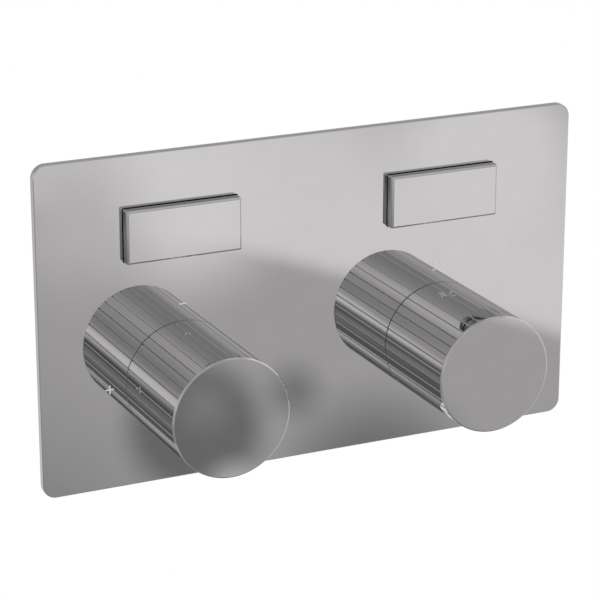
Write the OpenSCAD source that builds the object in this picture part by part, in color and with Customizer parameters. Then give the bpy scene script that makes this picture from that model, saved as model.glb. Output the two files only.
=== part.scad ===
// Concealed thermostatic shower valve with two round knobs and two push buttons.
// Z is up, the front looks along -Y, and the origin is the centre of the cover plate in the plane of
// the finished wall. The plate, knobs and buttons stand in front of the wall, the valve body behind it.

/* [Cover plate] */
// Width of the cover plate
plate_w = 250; // [244:1:290]
// Height of the cover plate
plate_h = 145; // [140:1:180]
// Thickness of the cover plate at its rim
plate_t = 4; // [3.6:0.1:5]
// Thickness of the plate's face in front of its recess
plate_skin = 2; // [1.6:0.1:2.4]
// Radius of the plate's corners
plate_corner_r = 6; // [3:0.5:10]
// Rounding of the plate's front edge
plate_edge = 0.4; // [0.3:0.1:1.2]
// Width of the rim that meets the wall
plate_rim = 4; // [3:0.5:6]
// Width of the foam gasket inside the rim
gasket_w = 7; // [4:0.5:9]

/* [Knobs] */
// Distance of each knob's axis from the middle of the plate
knob_x = 61; // [59:0.5:63]
// Height of the knob axes, below the middle of the plate
knob_z = -28; // [-29:0.5:-27]
// Diameter of the knobs
knob_d = 52; // [51.5:0.5:56]
// Length of the knobs
knob_l = 51.7; // [50:0.1:60]
// Gap between a knob and the cover plate
knob_seam = 0.3; // [0.2:0.1:1]
// Grooves round a knob
groove_count = 40; // [24:1:48]
// Width of a groove at the knob's surface
groove_w = 0.7; // [0.4:0.1:1.2]
// Depth of a groove
groove_depth = 0.4; // [0.2:0.1:0.8]
// Plain band left between the grooves and the knob's front
groove_stop = 0.9; // [0.6:0.1:2]
// Chamfer of a knob's front edge
knob_chamfer = 0.5; // [0.3:0.1:1]
// Turn of the flow knob from minus to plus, in degrees
flow_turn = 90; // [60:5:110]
// Turn of the temperature knob towards cold, in degrees
cold_turn = 150; // [100:5:160]
// Turn of the temperature knob towards hot, in degrees
hot_turn = 60; // [40:5:70]

/* [Push buttons] */
// Width of a push button
button_w = 51.5; // [44:0.5:53]
// Height of a push button
button_h = 23; // [20:0.5:25]
// Height of the button axes, above the middle of the plate
button_z = 38.5; // [37:0.5:40]
// How far a button stands out of the plate
button_proud = 4.9; // [3.2:0.1:5.4]
// Travel of a button
button_travel = 3; // [2:0.1:3]
// Clear gap round a button in the plate
button_gap = 0.3; // [0.2:0.1:0.8]
// Chamfer of a button's front edge
button_chamfer = 0.8; // [0.4:0.1:1.2]
// Wall of a button's cover
button_wall = 1.3; // [1:0.1:1.8]

/* [Valve body] */
// Distance from the finished wall back to the barrel mouths
body_setback = 8; // [7.5:0.5:12]
// Outer radius of the knob barrels
barrel_r = 20.5; // [20.5:0.5:23]
// Outer radius of the barrels' threaded necks
neck_r = 17.5; // [17.2:0.1:18]
// Length of the threaded necks
neck_l = 10; // [9:0.5:12]
// Outer radius of the galleries
gallery_r = 9; // [8:0.5:10]
// Bore radius of the galleries
gallery_bore_r = 5.5; // [4.5:0.1:5.8]
// Height of the two inlets, below the middle of the plate
inlet_z = -52; // [-54:0.5:-51]
// Distance of each port's mouth from the middle of the plate
port_x = 97; // [95:0.5:105]
// Wall radius of the G1/2 threads in the ports
port_thread_r = 9.3; // [9:0.05:10]
// Depth of the port threads
port_thread_l = 15; // [12:0.5:16]
// Outer radius of the port bosses
port_boss_r = 13.5; // [12.5:0.5:14]
// Outer radius of the push valve barrels
push_barrel_r = 15; // [14:0.5:16]

/* [Mounting bracket] */
// Sheet thickness of the mounting bracket
bracket_t = 2; // [1.5:0.1:3]
// Height of the bracket's feet behind its middle panel
foot_step = 6; // [5:0.5:10]
// Distance between the slots from left to right
slot_spacing_x = 172; // [168:1:174]
// Distance between the slots from top to bottom
slot_spacing_z = 36; // [24:1:40]
// Length of a slot
slot_l = 12; // [8:0.5:14]
// Half the width of a slot
slot_r = 2.75; // [2.2:0.05:3.2]

/* [Cartridges] */
// Radius of the flow headwork's thread
headwork_r = 12; // [11.5:0.1:12.5]
// Radius of the ceramic discs
disc_r = 8.4; // [8:0.1:8.8]
// Thickness of each ceramic disc
disc_t = 3; // [2.5:0.1:3.2]
// Radius of the flow spindle
flow_spindle_r = 5; // [4.8:0.1:5.3]
// Radius of the thermostat cartridge
cartridge_r = 15; // [14.6:0.1:15.2]
// Radius of the regulating shuttle
shuttle_r = 11; // [10.6:0.1:11.2]
// Length of the regulating shuttle
shuttle_l = 12; // [11:0.1:13]
// Radius of the wax element
element_r = 4.5; // [4:0.1:5]
// Travel of the shuttle for one radian of the temperature knob
shuttle_lead = 0.3; // [0.2:0.05:0.4]
// Radius of the temperature spindle
temp_spindle_r = 6; // [5.6:0.1:6.4]
// Radius of the push rods
rod_r = 2; // [1.8:0.1:2.4]
// Radius of the push valve poppets
poppet_r = 7.2; // [7:0.1:8]
// Travel of the check valve poppets
check_travel = 2.5; // [2:0.1:3]

/* [Hidden] */
$fn = 96;

// Clearances: a fixed fit or thread, a running fit, and faces that slide on each other
fit = 0.05;
running = 0.05;
face_gap = 0.02;
// Overlap that makes cuts and unions clean
eps = 0.5;
hull_fn = 32;

// Planes along Y, from the front to the back
plate_front = -plate_t;
recess_y = plate_front + plate_skin;
knob_back = plate_front - knob_seam;
knob_front = knob_back - knob_l;
neck_end = body_setback + neck_l;

// Hollow of a knob: a wide one round the plate nut and a narrower one round the hub
nut_t = 5.5;
nut_wall = 3.25;
sleeve_wall = 2;
sleeve_r = neck_r + fit + sleeve_wall;
sleeve_proud = 1.5;
sleeve_front = plate_front - nut_t - sleeve_proud;
nut_r = sleeve_r + fit + nut_wall;
nut_room = 0.6;
nut_slot_w = 4;
nut_slot_depth = 1.5;
wide_hollow_r = nut_r + nut_room;
// Room in front of the sleeve, for a plate that sits further out
sleeve_reserve = 5;
wide_hollow_end = sleeve_front - sleeve_reserve;
knob_front_wall = 6;
hub_front = knob_front + knob_front_wall;
hub_l = 28;
hub_back = hub_front + hub_l;
hub_r = 17;
grub_setback = 6;
grub_y = hub_back - grub_setback;
grub_r = 2.5;
grub_inner = 12;
grub_sunk = 1;
grub_play = 0.2;
grub_key_r = 1.4;
grub_key_depth = 2.4;
screw_head_r = 5;
screw_head_t = 4;
screw_head_room = 0.4;
screw_room = 0.1;
hub_screw_r = 2.5;
hub_key_af = 4;
hub_key_floor = 1.5;
hub_floor = 4;
socket_l = 10;
socket_front = hub_back - socket_l;
hub_screw_seat = socket_front - hub_floor;
spline_back_off = 0.2;
spline_sides = 12;
spline_inset = 0.4;
spline_room = 0.1;
hub_screw_bite = 7;

// Openings in the plate
plate_hole_room = 0.4;
plate_hole_r = sleeve_r + plate_hole_room;
recess_corner_r = max(plate_corner_r - plate_rim, 0.5);
gasket_room = 0.2;
gasket_corner_r = 1.5;
opening_w = button_w + 2 * button_gap;
opening_h = button_h + 2 * button_gap;

// Depths of the galleries behind the barrel mouths, and their Y planes
riser_depth = 22;
inlet_depth = 25.5;
outlet_depth = 39;
mixed_depth = 46;
riser_y = body_setback + riser_depth;
inlet_y = body_setback + inlet_depth;
outlet_y = body_setback + outlet_depth;
mixed_y = body_setback + mixed_depth;
barrel_end = mixed_y + gallery_r;

// Flow headwork along Y
headwork_flange_t = 5;
headwork_flange_af = 27;
headwork_neck_r = 9;
headwork_neck_front = hub_back + 8;
headwork_shank_l = 12;
headwork_skirt_r = headwork_r - 2;
disc_room_r = disc_r + 0.2;
disc_room_front = body_setback + 18;
spindle_flange_t = 2.3;
flange_play = 0.3;
flange_slot_w = 6;
flange_slot_at = 4;
moving_disc_front = disc_room_front + flange_play + spindle_flange_t;
fixed_disc_front = moving_disc_front + disc_t + face_gap;
seal_front = fixed_disc_front + disc_t + face_gap;
skirt_end = seal_front + 3.4;
seat_y = skirt_end + 0.4;
seal_bore_r = 6.4;
port_hole_r = 2.4;
port_hole_at = 4.5;
drive_dog_w = 3;
drive_dog_h = 1;
drive_dog_t = 2;
drive_dog_at = 6;
drive_dog_room = 0.15;
headwork_window_w = 6;
seat_bore_r = 7;

// Thermostat cartridge along Y
headpiece_flange_t = 4;
headpiece_flange_r = neck_r - 0.7;
headpiece_neck_r = 9;
headpiece_slot_w = 4;
headpiece_slot_depth = 2;
headpiece_slot_from = 12;
headpiece_neck_front = hub_back + 4;
housing_front = neck_end;
land_l = 4.5;
window_l = 8;
middle_land_l = 5;
hot_window_y = housing_front + land_l;
middle_land_y = hot_window_y + window_l;
cold_window_y = middle_land_y + middle_land_l;
rear_land_y = cold_window_y + window_l;
housing_end = rear_land_y + land_l;
window_depth = 2.2;
window_count = 6;
window_w = 6.4;
window_edge = 1;
oring_planes = [housing_front + land_l / 2, middle_land_y + middle_land_l / 2, housing_end - land_l / 2];
rear_flange_t = 1.7;
rear_flange_bore_r = 7;
mixing_bore_r = 10.5;
mixing_end = mixed_y + gallery_bore_r - 1;
shuttle_front = (hot_window_y + window_l + cold_window_y) / 2 - shuttle_l / 2 + 1;
shuttle_wall = 2;
shuttle_hub_l = 4;
shuttle_hub_wall = 1.6;
shuttle_hole_r = 1.5;
cup_front = body_setback;
cup_l = 9;
cup_r = 7.6;
cup_wall = 2;
cup_floor = 1.3;
cup_screw_r = 2.5;
cup_screw_l = 10;
head_room_r = 8.2;
spindle_foot_t = 3;
spindle_foot_rim = 1.5;
cup_reserve = 1.7;
spindle_back = cup_front - shuttle_lead * cold_turn * PI / 180 - cup_reserve;
element_back = housing_end + 7.5;
element_tip_l = 2;
element_tip_inset = 1.5;
piston_r = 2;
piston_head_r = cup_r - cup_wall - 0.25;
piston_head_t = 1.4;
piston_head_y = cup_front + cup_l - piston_head_t - 0.4;
element_front = shuttle_front + 1;
oring_r = 1;
small_oring_r = 0.8;
spindle_oring_r = 0.55;
oring_groove_w = 2.2;
oring_groove_room = 0.1;
flow_oring_planes = [headwork_neck_front + 6, headwork_neck_front + 11];
temperature_oring_planes = [headpiece_neck_front + 8.5, headpiece_neck_front + 12];
headwork_oring_y = body_setback + 2.2;

// Stop of the temperature knob: a lug on the hub between the ends of a rib on the ring
stop_ring_t = 3;
stop_ring_r = 14;
stop_rib_inner_r = 10.5;
stop_rib_t = 3;
stop_lug_arc = 20;
stop_lug_at = 90;
stop_margin = 1;
stop_gap = 0.4;
stop_rib_arc = 360 - cold_turn - hot_turn - stop_lug_arc - 2 * stop_margin;
stop_ring_back = headpiece_neck_front + stop_ring_t + 1;
stop_ring_front = stop_ring_back - stop_ring_t;
stop_rib_front = stop_ring_front - stop_rib_t;

// Push valves along Y
button_skirt_end = 2;
carrier_boss_end = button_skirt_end - 0.5;
insert_head_t = 4;
insert_head_front = carrier_boss_end + button_travel + 1.5;
push_mouth = insert_head_front + insert_head_t;
insert_head_af = 22;
insert_r = 11;
insert_thread_l = 10;
insert_tube_r = 8;
insert_bore_r = 6;
rear_land_l = 4.4;
insert_window_w = 6;
seat_end = riser_y + 10;
seat_bore = 6.2;
spring_seat_y = seat_end - 16;
partition_t = 2.5;
outlet_chamber_r = 9.5;
outlet_chamber_end = outlet_y + 9;
push_barrel_end = outlet_chamber_end + 4;
valve_oring_planes = [push_mouth + 2.2, seat_end - 2.2];
collar_y = insert_head_front + 3.5;
collar_t = 2;
collar_r = 5.3;
rod_front = plate_front + 0.1;
carrier_t = 2.5;
carrier_boss_r = 4.2;
carrier_room = 0.05;
carrier_rib_l = 31;
carrier_rib_t = 1.2;
carrier_rib_turn = 22;
button_front = plate_front - button_proud;
button_inner = button_front + button_wall;
poppet_t = 2.5;
poppet_seal_t = 2;
spring_wire_r = 0.55;
spring_mean_r = 4.1;
spring_curls = 6;

// Guide frames behind the plate
guide_wall = 3;
guide_gap = 0.4;
guide_end = insert_head_front - 0.3;
guide_ear_at = button_w / 2 + 5;
guide_ear_r = 4;
guide_ear_t = 2;
guide_boss_r = 3;
guide_boss_end = 2;
guide_screw_r = 1.2;
guide_screw_head_r = 2.8;
guide_screw_head_t = 1.7;
guide_screw_bite = 2.6;
guide_screw_room = 0.4;
guide_screw_play = 0.2;
cross_w = 0.7;
cross_l = 3.2;
cross_depth = 0.8;

// Inlet parts along the pipe, measured from the port's mouth
check_room_r = 8;
check_seat_t = 2;
check_poppet_t = 1.6;
check_spider_t = 1.5;
check_spring_room = 6.4;
check_spring_r = 2.2;
check_wire_r = 0.35;
check_curls = 5;
check_l = check_seat_t + check_poppet_t + check_spring_room + check_travel + check_spider_t;
filter_room = 1.6;
check_front = port_thread_l + filter_room;
check_room_l = check_front + check_l + 0.1;
check_wall = 2.5;
port_boss_l = port_thread_l + 3;
check_seat_r = 4.6;
check_bore_r = 6.4;
check_poppet_r = 5.8;
check_stem_r = 1.2;
check_stem_l = check_l - check_seat_t;
spider_holes = 5;
spider_hole_r = 1.7;
spider_hole_at = 4.3;
filter_t = 1;
filter_hole_r = 0.8;
filter_pitch = 2.1;
riser_r = 4.5;
riser_wall = 2.5;
riser_offset = 8;
hot_riser_x = knob_x - riser_offset;
cold_riser_x = knob_x + riser_offset;
hot_riser_y = hot_window_y + window_l / 2;
cold_riser_y = cold_window_y + window_l / 2;
stem_room = 2;

// Bracket and its screws
lug_x = 36;
lug_r = 6;
lug_hole_r = 2.5;
lug_hole_l = 12;
bracket_front = barrel_end + 1;
bracket_back = bracket_front + bracket_t;
foot_back = bracket_back + foot_step;
bracket_half_w = slot_spacing_x / 2 + slot_l / 2 + 3;
foot_inner_x = slot_spacing_x / 2 - slot_l / 2 - 5;
bracket_top = button_z + 8;
bracket_bottom = inlet_z - 10;
slot_mid_z = (button_z + inlet_z) / 2;
window_half_w = 28;
window_margin = 11;
body_screw_r = 2.45;
body_screw_head_r = 4.5;
body_screw_head_t = 3.5;
body_screw_l = 10;
body_screw_room = 0.25;
body_key_af = 4;
body_key_floor = 1.2;

// Springs: rings to a turn and sides of the wire
spring_rings = 8;
spring_sides = 6;
spring_gap = 0.05;
overload_spring_r = 4.3;
return_spring_r = 9.8;
short_spring_curls = 3;

// Shapes whose axis lies along Y, at a place on the plate
module along_y(x, z) {
    translate([x, 0, z])
        rotate([-90, 0, 0])
            children();
}

// Plain round bar from one Y plane to another
module bar(from, to, r) {
    translate([0, 0, from])
        cylinder(h = to - from, r = r);
}

// Round tube from one Y plane to another
module tube(from, to, r_out, r_in) {
    difference() {
        bar(from, to, r_out);
        bar(from - eps, to + eps, r_in);
    }
}

// Hexagon bar across its flats
module hex_bar(from, to, across_flats) {
    translate([0, 0, from])
        rotate([0, 0, 30])
            cylinder(h = to - from, r = across_flats / 2 / cos(30), $fn = 6);
}

// O-ring of round section
module o_ring(y, major_r, wire_r) {
    translate([0, 0, y])
        rotate_extrude()
            translate([major_r, 0])
                circle(r = wire_r, $fn = 32);
}

// Groove of an O-ring in a bar of radius r
module oring_groove(y, r, wire_r) {
    tube(y - oring_groove_w / 2, y + oring_groove_w / 2, r + 1, r - 2 * wire_r - oring_groove_room);
}

// Pie slice that stays inside a radius, from angle a to angle a + arc
module wedge(from, to, r, a, arc) {
    steps = max(2, ceil(arc / 30));
    far_r = r / cos(arc / steps / 2);
    points = [for (i = [0 : steps]) [far_r * cos(a + arc * i / steps), far_r * sin(a + arc * i / steps)]];
    translate([0, 0, from])
        linear_extrude(to - from)
            intersection() {
                circle(r = r);
                polygon(concat([[0, 0]], points));
            }
}

// Rectangle with round corners, centred
module round_rect(w, h, r) {
    union() {
        square([w - 2 * r, h], center = true);
        square([w, h - 2 * r], center = true);
        for (sx = [-1, 1], sz = [-1, 1])
            translate([sx * (w / 2 - r), sz * (h / 2 - r)])
                circle(r = r);
    }
}

// Prism of a drawn outline, from one Y plane to another
module slab(from, to) {
    translate([0, 0, from])
        linear_extrude(to - from)
            children();
}

// One ring of a spring's wire at turn t (0 to 1)
function coil_ring(t, from, to, mean_r, wire_r, curls) = [
    for (k = [0 : spring_sides - 1])
        let (
            a = 360 * curls * t,
            b = 360 * k / spring_sides,
            rr = mean_r + wire_r * cos(b)
        )
        [rr * cos(a), rr * sin(a), from + wire_r + (to - from - 2 * wire_r) * t + wire_r * sin(b)]
];

// Helical spring between two Y planes
module coil(from, to, mean_r, wire_r, curls) {
    count = curls * spring_rings;
    s = spring_sides;
    points = [for (i = [0 : count]) each coil_ring(i / count, from, to, mean_r, wire_r, curls)];
    sides = [
        for (i = [0 : count - 1], k = [0 : s - 1])
            let (n = (k + 1) % s, p = i * s)
            each [[p + k, p + s + n, p + n], [p + k, p + s + k, p + s + n]]
    ];
    first_cap = [for (k = [1 : s - 2]) [0, k, k + 1]];
    last_cap = [for (k = [1 : s - 2]) [count * s, count * s + k + 1, count * s + k]];
    polyhedron(points = points, faces = concat(sides, first_cap, last_cap), convexity = 10);
}

// Slab whose front edge is rounded in two steps: one hull round a stack of cones at each corner
module soft_edged_slab(w, h, corner, front, back, edge) {
    mid = edge * (1 - sin(45));
    hull()
        for (sx = [-1, 1], sz = [-1, 1])
            translate([sx * (w / 2 - corner), sz * (h / 2 - corner), front]) {
                cylinder(h = mid, r1 = corner - edge, r2 = corner - mid, $fn = hull_fn);
                translate([0, 0, mid])
                    cylinder(h = edge - mid, r1 = corner - mid, r2 = corner, $fn = hull_fn);
                translate([0, 0, edge])
                    cylinder(h = back - front - edge, r = corner, $fn = hull_fn);
            }
}

// Outline of a block of width w whose front corners are chamfered
module chamfered_profile(w, front, back, chamfer) {
    polygon([
        [-w / 2, back],
        [-w / 2, front + chamfer],
        [-w / 2 + chamfer, front],
        [w / 2 - chamfer, front],
        [w / 2, front + chamfer],
        [w / 2, back]
    ]);
}

// Block with a chamfer round its front face
module chamfered_block(w, h, front, back, chamfer) {
    intersection() {
        rotate([90, 0, 0])
            linear_extrude(h, center = true)
                chamfered_profile(w, front, back, chamfer);
        rotate([90, 0, 90])
            linear_extrude(w, center = true)
                chamfered_profile(h, front, back, chamfer);
    }
}

module cover_plate() {
    color("gainsboro")
        along_y(0, 0)
            difference() {
                union() {
                    difference() {
                        soft_edged_slab(plate_w, plate_h, plate_corner_r, plate_front, 0, plate_edge);
                        slab(recess_y, eps)
                            round_rect(plate_w - 2 * plate_rim, plate_h - 2 * plate_rim, recess_corner_r);
                    }
                    for (side = [-1, 1], ear = [-1, 1])
                        translate([side * knob_x + ear * guide_ear_at, -button_z, 0])
                            bar(recess_y - eps, guide_boss_end, guide_boss_r);
                }
                for (side = [-1, 1]) {
                    translate([side * knob_x, -knob_z, 0])
                        bar(plate_front - eps, eps, plate_hole_r);
                    translate([side * knob_x, -button_z, 0])
                        slab(plate_front - eps, eps)
                            square([opening_w, opening_h], center = true);
                    for (ear = [-1, 1])
                        translate([side * knob_x + ear * guide_ear_at, -button_z, 0])
                            bar(guide_boss_end - guide_screw_bite - guide_screw_room, guide_boss_end + eps,
                                guide_screw_r);
                }
            }
}

module plate_gasket() {
    outer_w = plate_w - 2 * plate_rim - 2 * gasket_room;
    outer_h = plate_h - 2 * plate_rim - 2 * gasket_room;
    color("dimgray")
        along_y(0, 0)
            slab(recess_y, 0)
                difference() {
                    round_rect(outer_w, outer_h, gasket_corner_r);
                    round_rect(outer_w - 2 * gasket_w, outer_h - 2 * gasket_w, gasket_corner_r);
                }
}

// Round bar along X, from x0 to x1, at a height z and a depth y
module x_bar(x0, x1, y, z, r) {
    translate([min(x0, x1), y, z])
        rotate([0, 90, 0])
            cylinder(h = abs(x1 - x0), r = r);
}

// Round bar along Z
module z_bar(z0, z1, x, y, r) {
    translate([x, y, min(z0, z1)])
        cylinder(h = abs(z1 - z0), r = r);
}

// Outside of the brass casting
module body_outside() {
    for (side = [-1, 1]) {
        along_y(side * knob_x, knob_z) {
            bar(body_setback, neck_end + eps, neck_r);
            bar(neck_end, barrel_end, barrel_r);
        }
        along_y(side * knob_x, button_z)
            bar(push_mouth, push_barrel_end, push_barrel_r);
        x_bar(side * (port_x - port_boss_l), side * port_x, inlet_y, inlet_z, port_boss_r);
        x_bar(side * (port_x - port_boss_l), side * port_x, outlet_y, button_z, port_boss_r);
        x_bar(side * knob_x, side * (port_x - 1), outlet_y, button_z, gallery_r);
        x_bar(side * knob_x, side * (port_x - 1), inlet_y, inlet_z, check_room_r + check_wall);
        along_y(side * lug_x, inlet_z)
            bar(inlet_y, bracket_front, lug_r);
        along_y(side * lug_x, button_z)
            bar(riser_y, bracket_front, lug_r);
    }
    x_bar(-knob_x, knob_x, mixed_y, knob_z, gallery_r);
    x_bar(-knob_x, knob_x, inlet_y, inlet_z, gallery_r);
    x_bar(-knob_x, knob_x, riser_y, button_z, gallery_r);
    z_bar(knob_z, button_z, -knob_x, riser_y, gallery_r);
    z_bar(inlet_z - riser_wall, knob_z, hot_riser_x, hot_riser_y, riser_r + riser_wall);
    z_bar(inlet_z - riser_wall, knob_z, cold_riser_x, cold_riser_y, riser_r + riser_wall);
}

// Water ways and threads inside the casting
module body_inside() {
    along_y(-knob_x, knob_z) {
        bar(body_setback - eps, seat_y, headwork_r);
        bar(seat_y - eps, mixing_end, seat_bore_r);
    }
    along_y(knob_x, knob_z) {
        bar(body_setback - eps, housing_end, cartridge_r);
        bar(housing_end - eps, mixing_end, mixing_bore_r);
    }
    for (side = [-1, 1]) {
        along_y(side * knob_x, button_z) {
            bar(push_mouth - eps, seat_end, insert_r);
            bar(seat_end - eps, outlet_chamber_end, outlet_chamber_r);
        }
        x_bar(side * (port_x - port_thread_l), side * (port_x + eps), inlet_y, inlet_z, port_thread_r);
        x_bar(side * (port_x - check_room_l), side * port_x, inlet_y, inlet_z, check_room_r);
        x_bar(side * (port_x - port_thread_l), side * (port_x + eps), outlet_y, button_z, port_thread_r);
        x_bar(side * knob_x, side * port_x, outlet_y, button_z, gallery_bore_r);
        for (z = [inlet_z, button_z])
            along_y(side * lug_x, z)
                bar(bracket_front - lug_hole_l, bracket_front + eps, lug_hole_r);
    }
    // Hot and cold feeds stop short of each other and rise into the cartridge at their own depths
    x_bar(-port_x + port_thread_l, hot_riser_x + riser_r, inlet_y, inlet_z, gallery_bore_r);
    x_bar(port_x - port_thread_l, cold_riser_x - riser_r - stem_room, inlet_y, inlet_z, gallery_bore_r);
    z_bar(inlet_z, knob_z, hot_riser_x, hot_riser_y, riser_r);
    z_bar(inlet_z, knob_z, cold_riser_x, cold_riser_y, riser_r);
    // Mixed water to the flow headwork, then up to both push valves
    x_bar(-knob_x, knob_x, mixed_y, knob_z, gallery_bore_r);
    z_bar(knob_z, button_z, -knob_x, riser_y, gallery_bore_r);
    x_bar(-knob_x, knob_x, riser_y, button_z, gallery_bore_r);
}

module valve_body() {
    color("darkgoldenrod")
        difference() {
            body_outside();
            body_inside();
        }
}

module mounting_bracket() {
    panel_h = bracket_top - bracket_bottom;
    foot_w = bracket_half_w - foot_inner_x + bracket_t;
    color("silver")
        difference() {
            union() {
                translate([-foot_inner_x, bracket_front, bracket_bottom])
                    cube([2 * foot_inner_x, bracket_t, panel_h]);
                for (side = [-1, 1]) {
                    translate([side * (foot_inner_x - bracket_t / 2) - bracket_t / 2, bracket_front,
                               bracket_bottom])
                        cube([bracket_t, foot_step + bracket_t, panel_h]);
                    translate([side > 0 ? foot_inner_x - bracket_t : -bracket_half_w,
                               foot_back - bracket_t, bracket_bottom])
                        cube([foot_w, bracket_t, panel_h]);
                }
            }
            translate([-window_half_w, bracket_front - eps, inlet_z + window_margin])
                cube([2 * window_half_w, bracket_t + 2 * eps, button_z - inlet_z - 2 * window_margin]);
            for (side = [-1, 1]) {
                for (z = [inlet_z, button_z])
                    along_y(side * lug_x, z)
                        bar(bracket_front - eps, bracket_back + eps, lug_hole_r + body_screw_room);
                for (up = [-1, 1])
                    along_y(side * slot_spacing_x / 2, slot_mid_z + up * slot_spacing_z / 2)
                        slot_cut();
            }
        }
}

// One slot through a foot, made of two round ends and a straight middle
module slot_cut() {
    half = slot_l / 2 - slot_r;
    slab(foot_back - bracket_t - eps, foot_back + eps)
        union() {
            square([2 * half, 2 * slot_r], center = true);
            for (end = [-1, 1])
                translate([end * half, 0])
                    circle(r = slot_r);
        }
}

module body_screws() {
    color("lightgray")
        for (side = [-1, 1], z = [inlet_z, button_z])
            along_y(side * lug_x, z)
                difference() {
                    union() {
                        bar(bracket_back - body_screw_l, bracket_back + eps, body_screw_r);
                        bar(bracket_back, bracket_back + body_screw_head_t, body_screw_head_r);
                    }
                    hex_bar(bracket_back + body_key_floor, bracket_back + body_screw_head_t + eps,
                            body_key_af);
                }
}

// Grooved knob, hollow from the back
module knob(bore_r) {
    difference() {
        union() {
            slab(knob_front + groove_stop, knob_back)
                difference() {
                    circle(r = knob_d / 2);
                    for (i = [0 : groove_count - 1])
                        rotate([0, 0, -90 + 360 * i / groove_count])
                            polygon([
                                [knob_d / 2 - groove_depth, 0],
                                [knob_d / 2 + groove_depth, groove_w],
                                [knob_d / 2 + groove_depth, -groove_w]
                            ]);
                }
            bar(knob_front + knob_chamfer, knob_front + groove_stop + 0.1, knob_d / 2);
            translate([0, 0, knob_front])
                cylinder(h = knob_chamfer, r1 = knob_d / 2 - knob_chamfer, r2 = knob_d / 2);
        }
        bar(wide_hollow_end, knob_back + eps, wide_hollow_r);
        bar(hub_front, wide_hollow_end + eps, bore_r);
        translate([0, 0, grub_y])
            rotate([-90, 0, 0])
                cylinder(h = knob_d, r = grub_r);
    }
}

module flow_knob() {
    color("silver")
        along_y(-knob_x, knob_z)
            knob(hub_r);
}

module temperature_knob() {
    color("silver")
        along_y(knob_x, knob_z)
            knob(hub_r);
}

// Splined insert between a spindle and its knob
module knob_hub(spline_r) {
    difference() {
        bar(hub_front, hub_back, hub_r - fit);
        bar(hub_front - eps, hub_screw_seat, screw_head_r + screw_head_room);
        bar(hub_front, hub_back, hub_screw_r + screw_room);
        translate([0, 0, socket_front])
            cylinder(h = socket_l + eps, r = spline_r + spline_room, $fn = spline_sides);
        translate([0, 0, grub_y])
            rotate([-90, 0, 0])
                translate([0, 0, grub_inner])
                    cylinder(h = hub_r, r = grub_r);
    }
}

module flow_knob_hub() {
    color("dimgray")
        along_y(-knob_x, knob_z)
            knob_hub(flow_spindle_r - spline_inset);
}

module temperature_knob_hub() {
    color("dimgray")
        along_y(knob_x, knob_z)
            union() {
                knob_hub(temp_spindle_r - spline_inset);
                difference() {
                    wedge(hub_back - eps, stop_ring_front - stop_gap, stop_ring_r - stop_gap,
                          stop_lug_at - stop_lug_arc / 2, stop_lug_arc);
                    bar(hub_back - 2 * eps, stop_ring_front + eps, stop_rib_inner_r + 0.3);
                }
            }
}

// Headless screw in the underside of a knob
module grub_screw() {
    translate([0, 0, grub_y])
        rotate([-90, 0, 0])
            difference() {
                translate([0, 0, grub_inner + grub_play])
                    cylinder(h = knob_d / 2 - grub_inner - grub_play - grub_sunk, r = grub_r - fit);
                translate([0, 0, knob_d / 2 - grub_sunk - grub_key_depth])
                    cylinder(h = grub_key_depth + eps, r = grub_key_r, $fn = 6);
            }
}

module flow_grub_screw() {
    color("gray")
        along_y(-knob_x, knob_z)
            grub_screw();
}

module temperature_grub_screw() {
    color("gray")
        along_y(knob_x, knob_z)
            grub_screw();
}

// Screw that holds a hub on its spindle
module hub_screw() {
    difference() {
        union() {
            bar(hub_screw_seat - screw_head_t, hub_screw_seat, screw_head_r);
            bar(hub_screw_seat - 1, socket_front + hub_screw_bite, hub_screw_r - fit);
        }
        hex_bar(hub_screw_seat - screw_head_t - eps, hub_screw_seat - hub_key_floor, hub_key_af);
    }
}

module flow_hub_screw() {
    color("gray")
        along_y(-knob_x, knob_z)
            hub_screw();
}

module temperature_hub_screw() {
    color("gray")
        along_y(knob_x, knob_z)
            hub_screw();
}

// Splined nose of a spindle with the hole for the hub screw
module spindle_nose(r) {
    translate([0, 0, socket_front + spline_back_off])
        cylinder(h = socket_l + 1, r = r - spline_inset, $fn = spline_sides);
}

module flow_spindle() {
    color("goldenrod")
        along_y(-knob_x, knob_z)
            difference() {
                union() {
                    spindle_nose(flow_spindle_r);
                    bar(hub_back, disc_room_front + 1, flow_spindle_r);
                    bar(disc_room_front + flange_play, moving_disc_front - face_gap, disc_r);
                    for (end = [-1, 1])
                        translate([end * drive_dog_at - drive_dog_t / 2, -drive_dog_w / 2,
                                   moving_disc_front - face_gap - 0.1])
                            cube([drive_dog_t, drive_dog_w, drive_dog_h]);
                }
                bar(socket_front, socket_front + hub_screw_bite + 1, hub_screw_r);
                for (y = flow_oring_planes)
                    oring_groove(y, flow_spindle_r, spindle_oring_r);
                // Water passes the flange on both sides
                for (end = [-1, 1])
                    translate([-flange_slot_w / 2, end > 0 ? flange_slot_at : -disc_r - flange_slot_at,
                               disc_room_front])
                        cube([flange_slot_w, disc_r, spindle_flange_t + 1]);
            }
}

module flow_spindle_orings() {
    color("black")
        along_y(-knob_x, knob_z)
            for (y = flow_oring_planes)
                o_ring(y, flow_spindle_r - spindle_oring_r, spindle_oring_r);
}

module flow_moving_disc() {
    color("white")
        along_y(-knob_x, knob_z)
            difference() {
                bar(moving_disc_front, moving_disc_front + disc_t, disc_r);
                for (end = [-1, 1]) {
                    translate([0, end * port_hole_at, 0])
                        bar(moving_disc_front - eps, moving_disc_front + disc_t + eps, port_hole_r);
                    translate([end * drive_dog_at - drive_dog_t / 2 - drive_dog_room,
                               -drive_dog_w / 2 - drive_dog_room, moving_disc_front - eps])
                        cube([drive_dog_t + 2 * drive_dog_room, drive_dog_w + 2 * drive_dog_room,
                              drive_dog_h + 0.2 + eps]);
                }
            }
}

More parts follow.
